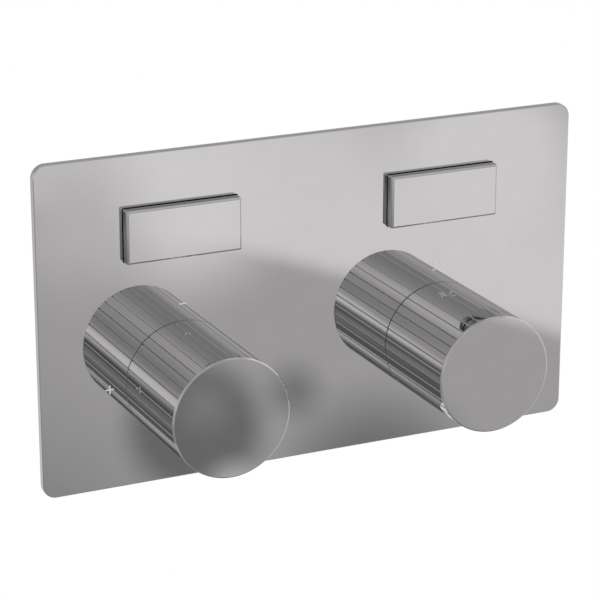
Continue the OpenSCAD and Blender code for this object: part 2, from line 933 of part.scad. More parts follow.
module flow_fixed_disc() {
    color("ivory")
        along_y(-knob_x, knob_z)
            difference() {
                bar(fixed_disc_front, fixed_disc_front + disc_t, disc_room_r - fit);
                for (end = [-1, 1])
                    rotate([0, 0, -flow_turn])
                        translate([0, end * port_hole_at, 0])
                            bar(fixed_disc_front - eps, fixed_disc_front + disc_t + eps, port_hole_r);
            }
}

module flow_disc_seal() {
    color("black")
        along_y(-knob_x, knob_z)
            tube(seal_front, seat_y - face_gap, disc_room_r - fit, seal_bore_r);
}

module flow_headwork() {
    color("goldenrod")
        along_y(-knob_x, knob_z)
            difference() {
                union() {
                    bar(headwork_neck_front, body_setback, headwork_neck_r);
                    hex_bar(body_setback - headwork_flange_t, body_setback, headwork_flange_af);
                    bar(body_setback, body_setback + headwork_shank_l, headwork_r - fit);
                    bar(body_setback, skirt_end, headwork_skirt_r);
                }
                bar(headwork_neck_front - eps, disc_room_front + eps, flow_spindle_r + running);
                bar(disc_room_front, skirt_end + eps, disc_room_r);
                oring_groove(headwork_oring_y, headwork_r - fit, small_oring_r);
                for (turn = [0, 90])
                    rotate([0, 0, turn + 45])
                        translate([-headwork_r, -headwork_window_w / 2, disc_room_front + flange_play])
                            cube([2 * headwork_r, headwork_window_w, spindle_flange_t]);
            }
}

module flow_headwork_oring() {
    color("black")
        along_y(-knob_x, knob_z)
            o_ring(headwork_oring_y, headwork_r - fit - small_oring_r, small_oring_r);
}

// Threaded tube that carries the cover plate
module plate_sleeve() {
    tube(sleeve_front, neck_end - 0.3, sleeve_r, neck_r + fit);
}

// Ring nut that clamps the cover plate
module plate_nut() {
    difference() {
        tube(plate_front - nut_t, plate_front, nut_r, sleeve_r + fit);
        for (turn = [0, 90])
            rotate([0, 0, turn])
                translate([-nut_r - 1, -nut_slot_w / 2, plate_front - nut_t - eps])
                    cube([2 * nut_r + 2, nut_slot_w, nut_slot_depth + eps]);
    }
}

module flow_plate_sleeve() {
    color("goldenrod")
        along_y(-knob_x, knob_z)
            plate_sleeve();
}

module flow_plate_nut() {
    color("lightgray")
        along_y(-knob_x, knob_z)
            plate_nut();
}

module temperature_plate_sleeve() {
    color("goldenrod")
        along_y(knob_x, knob_z)
            plate_sleeve();
}

module temperature_plate_nut() {
    color("lightgray")
        along_y(knob_x, knob_z)
            plate_nut();
}

module temperature_spindle() {
    color("goldenrod")
        along_y(knob_x, knob_z)
            difference() {
                union() {
                    spindle_nose(temp_spindle_r);
                    bar(hub_back, spindle_back, temp_spindle_r);
                    bar(spindle_back - spindle_foot_t, spindle_back, temp_spindle_r + spindle_foot_rim);
                }
                bar(socket_front, socket_front + hub_screw_bite + 1, hub_screw_r);
                bar(spindle_back - cup_screw_l, spindle_back + eps, cup_screw_r + running);
                for (y = temperature_oring_planes)
                    oring_groove(y, temp_spindle_r, spindle_oring_r);
            }
}

module temperature_spindle_orings() {
    color("black")
        along_y(knob_x, knob_z)
            for (y = temperature_oring_planes)
                o_ring(y, temp_spindle_r - spindle_oring_r, spindle_oring_r);
}

// Block across the headpiece's flange, out to a distance from its axis on both sides
module slot_across(reach) {
    translate([-reach, -headpiece_slot_w / 2, body_setback - headpiece_flange_t - eps])
        cube([2 * reach, headpiece_slot_w, headpiece_slot_depth]);
}

module thermostat_headpiece() {
    color("goldenrod")
        along_y(knob_x, knob_z)
            difference() {
                union() {
                    bar(headpiece_neck_front, body_setback, headpiece_neck_r);
                    bar(body_setback - headpiece_flange_t, body_setback, headpiece_flange_r);
                    bar(body_setback, neck_end, cartridge_r - fit);
                }
                bar(headpiece_neck_front - eps, neck_end + eps, temp_spindle_r + running);
                bar(spindle_back - spindle_foot_t - 0.1, neck_end + eps, head_room_r);
                for (turn = [45, 135])
                    rotate([0, 0, turn])
                        difference() {
                            slot_across(headpiece_flange_r + 1);
                            slot_across(headpiece_slot_from);
                        }
            }
}

module temperature_stop_ring() {
    mid = stop_lug_at + 180 + (cold_turn - hot_turn) / 2;
    color("ivory")
        along_y(knob_x, knob_z)
            union() {
                tube(stop_ring_front, stop_ring_back, stop_ring_r, headpiece_neck_r + fit);
                difference() {
                    wedge(stop_rib_front, stop_ring_front + 0.2, stop_ring_r, mid - stop_rib_arc / 2,
                          stop_rib_arc);
                    bar(stop_rib_front - eps, stop_ring_front + 0.1, stop_rib_inner_r);
                    bar(stop_ring_front, stop_ring_front + eps, headpiece_neck_r + 1);
                }
            }
}

module thermostat_housing() {
    color("burlywood")
        along_y(knob_x, knob_z)
            difference() {
                bar(housing_front, housing_end, cartridge_r - fit);
                bar(housing_front - eps, housing_end - rear_flange_t, shuttle_r);
                bar(housing_front, housing_end + eps, rear_flange_bore_r);
                for (y = [hot_window_y, cold_window_y]) {
                    tube(y, y + window_l, cartridge_r + 1, cartridge_r - window_depth);
                    for (i = [0 : window_count / 2 - 1])
                        rotate([0, 0, 360 * i / window_count])
                            translate([-cartridge_r, -window_w / 2, y + window_edge])
                                cube([2 * cartridge_r, window_w, window_l - 2 * window_edge]);
                }
                for (y = oring_planes)
                    oring_groove(y, cartridge_r - fit, oring_r);
            }
}

module thermostat_orings() {
    color("black")
        along_y(knob_x, knob_z)
            for (y = oring_planes)
                o_ring(y, cartridge_r - fit - oring_r, oring_r);
}

module thermostat_overload_cup() {
    color("silver")
        along_y(knob_x, knob_z)
            difference() {
                union() {
                    bar(cup_front - cup_screw_l + 1, cup_front + 0.2, cup_screw_r);
                    bar(cup_front, cup_front + cup_l, cup_r);
                }
                bar(cup_front + cup_floor, cup_front + cup_l + eps, cup_r - cup_wall);
            }
}

module thermostat_overload_spring() {
    color("lightgray")
        along_y(knob_x, knob_z)
            coil(cup_front + cup_floor + 2 * spring_gap, piston_head_y - 2 * spring_gap, overload_spring_r,
                 spring_wire_r, short_spring_curls);
}

module thermostat_wax_element() {
    color("peru")
        along_y(knob_x, knob_z)
            union() {
                bar(piston_head_y, piston_head_y + piston_head_t, piston_head_r);
                bar(piston_head_y, element_front + 0.2, piston_r);
                bar(element_front, element_back, element_r);
                translate([0, 0, element_back])
                    cylinder(h = element_tip_l, r1 = element_r, r2 = element_r - element_tip_inset);
            }
}

module thermostat_shuttle() {
    hub_y = shuttle_front + shuttle_l / 2 - shuttle_hub_l / 2;
    color("gray")
        along_y(knob_x, knob_z)
            difference() {
                bar(shuttle_front, shuttle_front + shuttle_l, shuttle_r - running);
                // Water passes between the hub and the rim, through four windows in the web
                for (i = [0 : 3])
                    rotate([0, 0, 90 * i + 45])
                        translate([(element_r + shuttle_hub_wall + shuttle_r - shuttle_wall) / 2, 0, 0])
                            bar(shuttle_front - eps, shuttle_front + shuttle_l + eps, shuttle_hole_r);
                tube(shuttle_front - eps, hub_y, shuttle_r - shuttle_wall, element_r + shuttle_hub_wall);
                tube(hub_y + shuttle_hub_l, shuttle_front + shuttle_l + eps, shuttle_r - shuttle_wall,
                     element_r + shuttle_hub_wall);
                bar(shuttle_front - eps, shuttle_front + shuttle_l + eps, element_r + fit);
            }
}

module thermostat_return_spring() {
    color("lightgray")
        along_y(knob_x, knob_z)
            coil(shuttle_front + shuttle_l + spring_gap, housing_end - rear_flange_t - spring_gap,
                 return_spring_r, spring_wire_r, short_spring_curls);
}

// Cover of a push button
module button_cover(side) {
    color("gainsboro")
        along_y(side * knob_x, button_z)
            difference() {
                chamfered_block(button_w, button_h, button_front, button_skirt_end, button_chamfer);
                slab(button_inner, button_skirt_end + eps)
                    square([button_w - 2 * button_wall, button_h - 2 * button_wall], center = true);
            }
}

// Plastic plate inside a button, with the socket for its push rod
module button_carrier(side) {
    inner_w = button_w - 2 * button_wall - 2 * carrier_room;
    inner_h = button_h - 2 * button_wall - 2 * carrier_room;
    color("dimgray")
        along_y(side * knob_x, button_z)
            difference() {
                union() {
                    slab(button_inner, button_inner + carrier_t)
                        square([inner_w, inner_h], center = true);
                    bar(button_inner + 1, carrier_boss_end, carrier_boss_r);
                    for (turn = [-1, 1])
                        slab(button_inner + 1, carrier_boss_end - 1)
                            rotate(turn * carrier_rib_turn)
                                square([carrier_rib_l, carrier_rib_t], center = true);
                }
                bar(rod_front - 0.1, carrier_boss_end + eps, rod_r + fit);
            }
}

module push_rod(side) {
    color("silver")
        along_y(side * knob_x, button_z)
            union() {
                bar(rod_front, seat_end + poppet_seal_t + 0.2, rod_r);
                bar(collar_y, collar_y + collar_t, collar_r);
                bar(seat_end + poppet_seal_t + face_gap, seat_end + poppet_seal_t + poppet_t, poppet_r);
            }
}

module poppet_seal(side) {
    color("black")
        along_y(side * knob_x, button_z)
            tube(seat_end + face_gap, seat_end + poppet_seal_t, poppet_r, rod_r + fit);
}

module button_spring(side) {
    color("lightgray")
        along_y(side * knob_x, button_z)
            coil(collar_y + collar_t + spring_gap, spring_seat_y - spring_gap, spring_mean_r, spring_wire_r,
                 spring_curls);
}

module push_valve(side) {
    window_y = spring_seat_y + partition_t;
    color("goldenrod")
        along_y(side * knob_x, button_z)
            difference() {
                union() {
                    hex_bar(insert_head_front, push_mouth, insert_head_af);
                    bar(push_mouth - 1, push_mouth + insert_thread_l, insert_r - fit);
                    bar(push_mouth, seat_end, insert_tube_r);
                    bar(seat_end - rear_land_l, seat_end, insert_r - fit);
                }
                bar(insert_head_front - eps, spring_seat_y, insert_bore_r);
                bar(insert_head_front, seat_end, rod_r + running);
                bar(window_y, seat_end + eps, seat_bore);
                for (turn = [0, 90])
                    rotate([0, 0, turn + 45])
                        translate([-insert_r, -insert_window_w / 2, window_y + 0.5])
                            cube([2 * insert_r, insert_window_w, seat_end - rear_land_l - 1 - window_y]);
                for (y = valve_oring_planes)
                    oring_groove(y, insert_r - fit, small_oring_r);
            }
}

module valve_orings(side) {
    color("black")
        along_y(side * knob_x, button_z)
            for (y = valve_oring_planes)
                o_ring(y, insert_r - fit - small_oring_r, small_oring_r);
}

// Frame behind the plate that keeps a button square
module button_guide(side) {
    inner_w = button_w + 2 * guide_gap;
    inner_h = button_h + 2 * guide_gap;
    color("slategray")
        along_y(side * knob_x, button_z)
            difference() {
                union() {
                    slab(recess_y, guide_end)
                        square([inner_w + 2 * guide_wall, inner_h + 2 * guide_wall], center = true);
                    for (ear = [-1, 1])
                        translate([ear * guide_ear_at, 0, 0])
                            bar(guide_boss_end, guide_boss_end + guide_ear_t, guide_ear_r);
                }
                slab(recess_y - eps, guide_end + eps)
                    square([inner_w, inner_h], center = true);
                for (ear = [-1, 1])
                    translate([ear * guide_ear_at, 0, 0]) {
                        bar(recess_y - eps, guide_boss_end, guide_boss_r + 0.1);
                        bar(guide_boss_end - eps, guide_boss_end + guide_ear_t + eps,
                            guide_screw_r + guide_screw_play);
                        bar(guide_boss_end + guide_ear_t, guide_end + eps,
                            guide_screw_head_r + guide_screw_play);
                    }
            }
}

module guide_screws() {
    seat = guide_boss_end + guide_ear_t;
    color("lightgray")
        for (side = [-1, 1], ear = [-1, 1])
            along_y(side * knob_x + ear * guide_ear_at, button_z)
                difference() {
                    union() {
                        bar(guide_boss_end - guide_screw_bite, seat + eps, guide_screw_r - fit);
                        bar(seat, seat + guide_screw_head_t, guide_screw_head_r);
                    }
                    for (turn = [0, 90])
                        rotate([0, 0, turn])
                            translate([-cross_l / 2, -cross_w / 2, seat + guide_screw_head_t - cross_depth])
                                cube([cross_l, cross_w, cross_depth + eps]);
                }
}

module left_button() { button_cover(-1); }
module left_button_carrier() { button_carrier(-1); }
module left_push_rod() { push_rod(-1); }
module left_poppet_seal() { poppet_seal(-1); }
module left_button_spring() { button_spring(-1); }
module left_push_valve() { push_valve(-1); }
module left_valve_orings() { valve_orings(-1); }
module left_button_guide() { button_guide(-1); }
module right_button() { button_cover(1); }
module right_button_carrier() { button_carrier(1); }
module right_push_rod() { push_rod(1); }
module right_poppet_seal() { poppet_seal(1); }
module right_button_spring() { button_spring(1); }
module right_push_valve() { push_valve(1); }
module right_valve_orings() { valve_orings(1); }
module right_button_guide() { button_guide(1); }

// Inlet parts: local Z runs from the port's mouth into the body
module in_port(side) {
    translate([side * port_x, inlet_y, inlet_z])
        rotate([0, -side * 90, 0])
            children();
}

// Cage of a check valve with its seat in front and its spider behind
module check_valve(side) {
    back = check_front + check_l;
    color("whitesmoke")
        in_port(side)
            difference() {
                bar(check_front, back, check_room_r - fit);
                bar(check_front - eps, check_front + check_seat_t + eps, check_seat_r);
                bar(check_front + check_seat_t, back - check_spider_t, check_bore_r);
                bar(back - check_spider_t - eps, back + eps, check_stem_r + running);
                for (i = [0 : spider_holes - 1])
                    rotate([0, 0, 360 * i / spider_holes])
                        translate([spider_hole_at, 0, 0])
                            bar(back - check_spider_t - eps, back + eps, spider_hole_r);
            }
}

module check_poppet(side) {
    seat = check_front + check_seat_t + face_gap;
    color("steelblue")
        in_port(side)
            union() {
                bar(seat, seat + check_poppet_t, check_poppet_r);
                bar(seat + 0.5, seat + check_stem_l, check_stem_r);
            }
}

module check_spring(side) {
    from = check_front + check_seat_t + check_poppet_t;
    color("lightgray")
        in_port(side)
            coil(from + 2 * spring_gap, check_front + check_l - check_spider_t - spring_gap, check_spring_r,
                 check_wire_r, check_curls);
}

module hot_check_valve() { check_valve(-1); }
module hot_check_poppet() { check_poppet(-1); }
module hot_check_spring() { check_spring(-1); }
module cold_check_valve() { check_valve(1); }
module cold_check_poppet() { check_poppet(1); }
module cold_check_spring() { check_spring(1); }

// Sieve disc in front of each check valve
module inlet_filters() {
    color("lightgray")
        for (side = [-1, 1])
            in_port(side)
                difference() {
                    bar(check_front - filter_t - face_gap, check_front - face_gap, check_room_r - fit);
                    for (row = [1 : 3], i = [0 : row * 6 - 1])
                        rotate([0, 0, 60 * i / row])
                            translate([row * filter_pitch, 0, 0])
                                bar(check_front - filter_t - eps, check_front + eps, filter_hole_r);
                }
}

cover_plate();
plate_gasket();
valve_body();
mounting_bracket();
body_screws();
flow_knob();
flow_knob_hub();
flow_grub_screw();
flow_hub_screw();
flow_spindle();
flow_spindle_orings();
flow_moving_disc();
flow_fixed_disc();
flow_disc_seal();
flow_headwork();
flow_headwork_oring();
flow_plate_sleeve();
flow_plate_nut();
temperature_knob();
temperature_knob_hub();
temperature_grub_screw();
temperature_hub_screw();
temperature_spindle();
temperature_spindle_orings();
thermostat_headpiece();
temperature_stop_ring();
temperature_plate_sleeve();
temperature_plate_nut();
thermostat_housing();
thermostat_orings();
thermostat_overload_cup();
thermostat_overload_spring();
thermostat_wax_element();
thermostat_shuttle();
thermostat_return_spring();
left_button();
left_button_carrier();
left_push_rod();
left_poppet_seal();
left_button_spring();
left_push_valve();
left_valve_orings();
left_button_guide();
right_button();
right_button_carrier();
right_push_rod();
right_poppet_seal();
right_button_spring();
right_push_valve();
right_valve_orings();
right_button_guide();
guide_screws();
hot_check_valve();
hot_check_poppet();
hot_check_spring();
cold_check_valve();
cold_check_poppet();
cold_check_spring();
inlet_filters();
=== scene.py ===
import math

import bmesh
import bpy
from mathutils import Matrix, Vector


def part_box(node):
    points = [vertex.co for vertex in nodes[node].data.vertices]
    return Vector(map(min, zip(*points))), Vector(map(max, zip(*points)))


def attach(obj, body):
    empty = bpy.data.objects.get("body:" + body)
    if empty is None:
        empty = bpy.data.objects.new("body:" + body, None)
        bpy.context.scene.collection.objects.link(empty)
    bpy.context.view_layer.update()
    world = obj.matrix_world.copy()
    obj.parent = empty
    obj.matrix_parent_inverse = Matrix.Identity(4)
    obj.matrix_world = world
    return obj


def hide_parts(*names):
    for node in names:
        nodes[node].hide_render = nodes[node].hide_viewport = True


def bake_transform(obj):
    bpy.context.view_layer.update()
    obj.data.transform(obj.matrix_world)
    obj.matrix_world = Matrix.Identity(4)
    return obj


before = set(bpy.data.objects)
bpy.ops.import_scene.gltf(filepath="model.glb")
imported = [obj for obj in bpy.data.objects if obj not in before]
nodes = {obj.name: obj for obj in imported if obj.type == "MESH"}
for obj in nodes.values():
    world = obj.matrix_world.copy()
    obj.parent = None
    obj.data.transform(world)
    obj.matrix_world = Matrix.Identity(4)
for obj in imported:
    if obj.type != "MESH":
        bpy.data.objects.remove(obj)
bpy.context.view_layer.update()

MM = 0.001
WELD = 1e-7

# Sizes of the visible pieces in millimetres, as in the construction
PLATE_W = 250.0
PLATE_H = 145.0
PLATE_FRONT = -4.0
RECESS = -2.0
PLATE_CORNER = 6.0
PLATE_EDGE = 0.4
BACK_RELIEF = 0.8
RIM = 4.0
KNOB_X = 61.0
KNOB_Z = -28.0
BUTTON_Z = 38.5
PLATE_HOLE_R = 19.95
OPENING_W = 52.1
OPENING_H = 23.6
OPENING_CORNER = 0.9
GUIDE_EAR = 30.75
GUIDE_BOSS_R = 3.0
GUIDE_BOSS_END = 2.0
GUIDE_HOLE_R = 1.2
GUIDE_HOLE_END = -1.0
KNOB_R = 26.0
KNOB_BACK = -4.3
KNOB_FRONT = -56.0
KNOB_CHAMFER = 0.5
KNOB_BACK_SOFT = 0.15
GROOVES = 40
GROOVE_HALF = 0.35
GROOVE_DEPTH = 0.4
GROOVE_STOP = 0.9
HUB_BORE_R = 17.0
HUB_BORE_END = -50.0
WIDE_HOLLOW_R = 23.45
WIDE_HOLLOW_END = -16.0
GRUB_R = 2.5
GRUB_Y = -28.0
PORT_X = 97.0
PORT_WALL_R = 9.3
PORT_THREAD_L = 15.0
PORT_PITCH = 1.814
PORT_RIDGE = 0.35
INLET_Y = 33.5
INLET_Z = -52.0
OUTLET_Y = 47.0
BUTTON_W = 51.5
BUTTON_H = 23.0
BUTTON_FRONT = -8.9
BUTTON_INNER = -7.6
BUTTON_END = 2.0
BUTTON_WALL = 1.3
BUTTON_CHAMFER = 0.8
BUTTON_CORNER = 0.5
BUTTON_FACE_FILLET = 0.1
BUTTON_SIDE_FILLET = 0.22


# Outlines: each is a list of (x, z) points that runs the same way round
def circle(x, z, r, count):
    points = []
    for i in range(count):
        a = 2 * math.pi * i / count
        points.append((x + r * math.cos(a), z + r * math.sin(a)))
    return points


def rounded_rect(x, z, w, h, r, per_corner):
    points = []
    centres = ((1, 1), (-1, 1), (-1, -1), (1, -1))
    for quarter, (sx, sz) in enumerate(centres):
        cx = x + sx * (w / 2 - r)
        cz = z + sz * (h / 2 - r)
        for i in range(per_corner + 1):
            a = math.pi / 2 * (quarter + i / per_corner)
            points.append((cx + r * math.cos(a), cz + r * math.sin(a)))
    return points


def add_ring(bm, points, y):
    return [bm.verts.new((x * MM, y * MM, z * MM)) for x, z in points]


def join_rings(bm, first, second):
    count = len(first)
    for i in range(count):
        j = (i + 1) % count
        bm.faces.new((first[i], first[j], second[j], second[i]))


def wall_of_rings(bm, rings):
    for first, second in zip(rings, rings[1:]):
        join_rings(bm, first, second)


def ring_edges(bm, ring):
    edges = []
    count = len(ring)
    for i in range(count):
        edge = bm.edges.get((ring[i], ring[(i + 1) % count]))
        if edge is None:
            edge = bm.edges.new((ring[i], ring[(i + 1) % count]))
        edges.append(edge)
    return edges


def fill_flat(bm, rings):
    edges = []
    for ring in rings:
        edges += ring_edges(bm, ring)
    bmesh.ops.triangle_fill(bm, use_beauty=True, use_dissolve=False, edges=edges)


# Makes the object.
def finish_piece(bm, name, slot, body, replaced=(), sharp=30.0, material=None):
    bmesh.ops.recalc_face_normals(bm, faces=bm.faces)
    open_edges = [e for e in bm.edges if len(e.link_faces) != 2]
    if open_edges:
        print("OPEN EDGES", name, len(open_edges))
    mesh = bpy.data.meshes.new(name)
    bm.to_mesh(mesh)
    bm.free()
    for polygon in mesh.polygons:
        polygon.use_smooth = True
    mesh.set_sharp_from_angle(angle=math.radians(sharp))
    obj = bpy.data.objects.new(name, mesh)
    bpy.context.scene.collection.objects.link(obj)
    if body:
        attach(obj, body)
    mesh.materials.append(material or materials[slot])
    if replaced:
        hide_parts(*replaced)
    return obj


# Node helpers for the materials. The mix node has one set of sockets for numbers and one for
# colours
MIX_NUMBER_LOW = 2
MIX_NUMBER_HIGH = 3
MIX_COLOUR_LOW = 6
MIX_COLOUR_HIGH = 7
MIX_COLOUR_OUT = 2


def new_material(name):
    material = bpy.data.materials.new(name)
    material.use_nodes = True
    return material, material.node_tree, material.node_tree.nodes["Principled BSDF"]


def noise(tree, scale, detail=3.0, stretch=(1, 1, 1), roughness=0.5):
    coords = tree.nodes.new("ShaderNodeTexCoord")
    mapping = tree.nodes.new("ShaderNodeMapping")
    mapping.inputs["Scale"].default_value = stretch
    tree.links.new(coords.outputs["Object"], mapping.inputs["Vector"])
    texture = tree.nodes.new("ShaderNodeTexNoise")
    texture.inputs["Scale"].default_value = scale
    texture.inputs["Detail"].default_value = detail
    texture.inputs["Roughness"].default_value = roughness
    tree.links.new(mapping.outputs["Vector"], texture.inputs["Vector"])
    return texture.outputs["Fac"]


def spread(tree, value, low, high, start=0.3, end=0.7):
    node = tree.nodes.new("ShaderNodeMapRange")
    node.inputs["From Min"].default_value = start
    node.inputs["From Max"].default_value = end
    node.inputs["To Min"].default_value = low
    node.inputs["To Max"].default_value = high
    tree.links.new(value, node.inputs["Value"])
    return node.outputs["Result"]


def blend_colours(tree, value, low, high):
    node = tree.nodes.new("ShaderNodeMix")
    node.data_type = "RGBA"
    node.inputs[MIX_COLOUR_LOW].default_value = (*low, 1)
    node.inputs[MIX_COLOUR_HIGH].default_value = (*high, 1)
    tree.links.new(value, node.inputs[0])
    return node.outputs[MIX_COLOUR_OUT]


def bump(tree, shader, height, distance, strength, edge=0.0):
    node = tree.nodes.new("ShaderNodeBump")
    node.inputs["Strength"].default_value = strength
    node.inputs["Distance"].default_value = distance
    tree.links.new(height, node.inputs["Height"])
    if edge:
        soften = tree.nodes.new("ShaderNodeBevel")
        soften.samples = 4
        soften.inputs["Radius"].default_value = edge
        tree.links.new(soften.outputs["Normal"], node.inputs["Normal"])
    tree.links.new(node.outputs["Normal"], shader.inputs["Normal"])


# A surface whose colour, roughness and height vary in a fine procedural way
def plain_surface(name, dark, light, metallic, rough_low, rough_high, grain, height, edge=0.0,
                  stretch=(1, 1, 1), coat=0.0):
    material, tree, shader = new_material(name)
    shader.inputs["Metallic"].default_value = metallic
    shader.inputs["Coat Weight"].default_value = coat
    wide = noise(tree, scale=grain * 0.12, detail=4.0, stretch=stretch)
    fine = noise(tree, scale=grain, detail=3.0, stretch=stretch)
    shade = spread(tree, wide, 0.0, 1.0)
    tree.links.new(blend_colours(tree, shade, dark, light), shader.inputs["Base Color"])
    tree.links.new(spread(tree, fine, rough_low, rough_high), shader.inputs["Roughness"])
    bump(tree, shader, fine, distance=height, strength=0.6, edge=edge)
    return material


# Mirror chrome: a neutral metal with faint polishing haze in its roughness and colour, painted shade
# and duller plating on the floors of the knobs' grooves, and painted shade on the walls in the gaps round
# the buttons
CHROME_DARK = (0.638, 0.638, 0.638)
CHROME_LIGHT = (0.652, 0.652, 0.652)
CHROME_SMOOTHEST = 0.012
CHROME_ROUGHEST = 0.035
GROOVE_PAINTED_SHADE = (0.50, 0.50, 0.50)
GROOVE_ROUGHNESS = 0.25
GAP_PAINTED_SHADE = (0.12, 0.12, 0.12)
GAP_ROUGHNESS = 0.35


def chrome():
    material, tree, shader = new_material("polished_chrome")
    shader.inputs["Metallic"].default_value = 1.0
    haze = noise(tree, scale=90.0, detail=4.0)
    shade = spread(tree, haze, 0.0, 1.0)
    plated = blend_colours(tree, shade, CHROME_DARK, CHROME_LIGHT)
    # The groove mask paints shade into the colour of the groove floors and dulls their roughness
    groove = tree.nodes.new("ShaderNodeAttribute")
    groove.attribute_name = "groove"
    colour = blend_colours(tree, groove.outputs["Fac"], (1, 1, 1), GROOVE_PAINTED_SHADE)
    tree.links.new(plated, colour.node.inputs[MIX_COLOUR_LOW])
    # The gap mask paints shade into the colour of the walls inside the gaps and roughens them
    gap = tree.nodes.new("ShaderNodeAttribute")
    gap.attribute_name = "gap"
    darker = blend_colours(tree, gap.outputs["Fac"], (1, 1, 1), GAP_PAINTED_SHADE)
    tree.links.new(colour, darker.node.inputs[MIX_COLOUR_LOW])
    tree.links.new(darker, shader.inputs["Base Color"])
    wipes = noise(tree, scale=40.0, detail=5.0, stretch=(1.0, 1.0, 6.0), roughness=0.6)
    polish = spread(tree, wipes, CHROME_SMOOTHEST, CHROME_ROUGHEST)
    dull = tree.nodes.new("ShaderNodeMath")
    dull.operation = "MULTIPLY_ADD"
    dull.inputs[1].default_value = GROOVE_ROUGHNESS
    tree.links.new(groove.outputs["Fac"], dull.inputs[0])
    tree.links.new(polish, dull.inputs[2])
    raw = tree.nodes.new("ShaderNodeMath")
    raw.operation = "MULTIPLY_ADD"
    raw.inputs[1].default_value = GAP_ROUGHNESS
    tree.links.new(gap.outputs["Fac"], raw.inputs[0])
    tree.links.new(dull.outputs[0], raw.inputs[2])
    tree.links.new(raw.outputs[0], shader.inputs["Roughness"])
    ripple = noise(tree, scale=14.0, detail=1.0)
    bump(tree, shader, ripple, distance=0.00002, strength=0.25)
    return material


# Per material: dark and light colour, metallic share, lowest and highest roughness, fineness of the
# grain, its height in metres, the radius that softens edges and the grain's stretch
materials = {
    "polished_chrome": chrome(),
    "cast_brass": plain_surface("cast_brass", (0.50, 0.36, 0.17), (0.62, 0.46, 0.23), 1.0,
                                0.38, 0.58, 900.0, 0.0003, 0.0006),
    "turned_brass": plain_surface("turned_brass", (0.70, 0.51, 0.24), (0.78, 0.59, 0.30), 1.0,
                                  0.16, 0.30, 1500.0, 0.00004, 0.0003, (0.2, 3.0, 0.2)),
    "zinc_steel": plain_surface("zinc_steel", (0.52, 0.54, 0.56), (0.64, 0.66, 0.68), 1.0,
                                0.28, 0.46, 260.0, 0.00004, 0.0003),
    "stainless_steel": plain_surface("stainless_steel", (0.60, 0.60, 0.60), (0.70, 0.70, 0.69), 1.0,
                                     0.18, 0.32, 1400.0, 0.00003, 0.0002, (0.3, 2.0, 0.3)),
    "nickel_brass": plain_surface("nickel_brass", (0.58, 0.56, 0.52), (0.68, 0.66, 0.62), 1.0,
                                  0.16, 0.28, 1200.0, 0.00003, 0.0003),
    "spring_wire": plain_surface("spring_wire", (0.48, 0.48, 0.49), (0.60, 0.60, 0.61), 1.0,
                                 0.22, 0.38, 1800.0, 0.00003),
    "seal_rubber": plain_surface("seal_rubber", (0.022, 0.022, 0.023), (0.040, 0.040, 0.041), 0.0,
                                 0.50, 0.68, 1600.0, 0.00005),
    "foam_gasket": plain_surface("foam_gasket", (0.07, 0.07, 0.075), (0.13, 0.13, 0.14), 0.0,
                                 0.80, 0.95, 1400.0, 0.0004),
    "dark_plastic": plain_surface("dark_plastic", (0.065, 0.065, 0.072), (0.095, 0.095, 0.105), 0.0,
                                  0.42, 0.58, 1800.0, 0.00006, 0.0003),
    "white_plastic": plain_surface("white_plastic", (0.80, 0.80, 0.78), (0.88, 0.88, 0.86), 0.0,
                                   0.38, 0.52, 1600.0, 0.00004, 0.0002),
    "blue_plastic": plain_surface("blue_plastic", (0.10, 0.22, 0.47), (0.14, 0.28, 0.57), 0.0,
                                  0.36, 0.50, 1600.0, 0.00004, 0.0002),
    "amber_plastic": plain_surface("amber_plastic", (0.48, 0.31, 0.12), (0.61, 0.40, 0.17), 0.0,
                                   0.22, 0.34, 1400.0, 0.00004, 0.0002, coat=0.3),
    "copper": plain_surface("copper", (0.62, 0.31, 0.19), (0.76, 0.42, 0.28), 1.0,
                            0.22, 0.38, 1200.0, 0.00004, 0.0002),
    "disc_ceramic": plain_surface("disc_ceramic", (0.86, 0.86, 0.84), (0.93, 0.93, 0.91), 0.0,
                                  0.14, 0.22, 1200.0, 0.00002),
}

for node in nodes.values():
    slot_name = node.data.materials[0].name.split(".")[0]
    if slot_name in materials:
        node.data.materials[0] = materials[slot_name]


# Cover plate: mirror-flat face, edge rounded in eight steps, holes for the sleeves and the buttons
EDGE_STEPS = 8
CORNER_STEPS = 14
OPENING_STEPS = 4
HOLE_STEPS = 96
BOSS_STEPS = 24
FLAT_MARGIN = 0.06
HOLE_EDGE = 0.1
BACK_SLOPE = 0.1
BACK_ROUND = 0.04
BOSS_FOOT = 0.4
BOSS_FOOT_LOW = 0.1
BOSS_EDGE = 0.2
BOSS_HOLE_EDGE = 0.15
DRILL_TIP = 0.4
DRILL_TIP_R = 0.3


def plate_outline(inset):
    corner = max(PLATE_CORNER - inset, 0.3)
    return rounded_rect(0, 0, PLATE_W - 2 * inset, PLATE_H - 2 * inset, corner, CORNER_STEPS)


def opening_outline(side, grow):
    return rounded_rect(side * KNOB_X, BUTTON_Z, OPENING_W + 2 * grow, OPENING_H + 2 * grow,
                        OPENING_CORNER + grow, OPENING_STEPS)


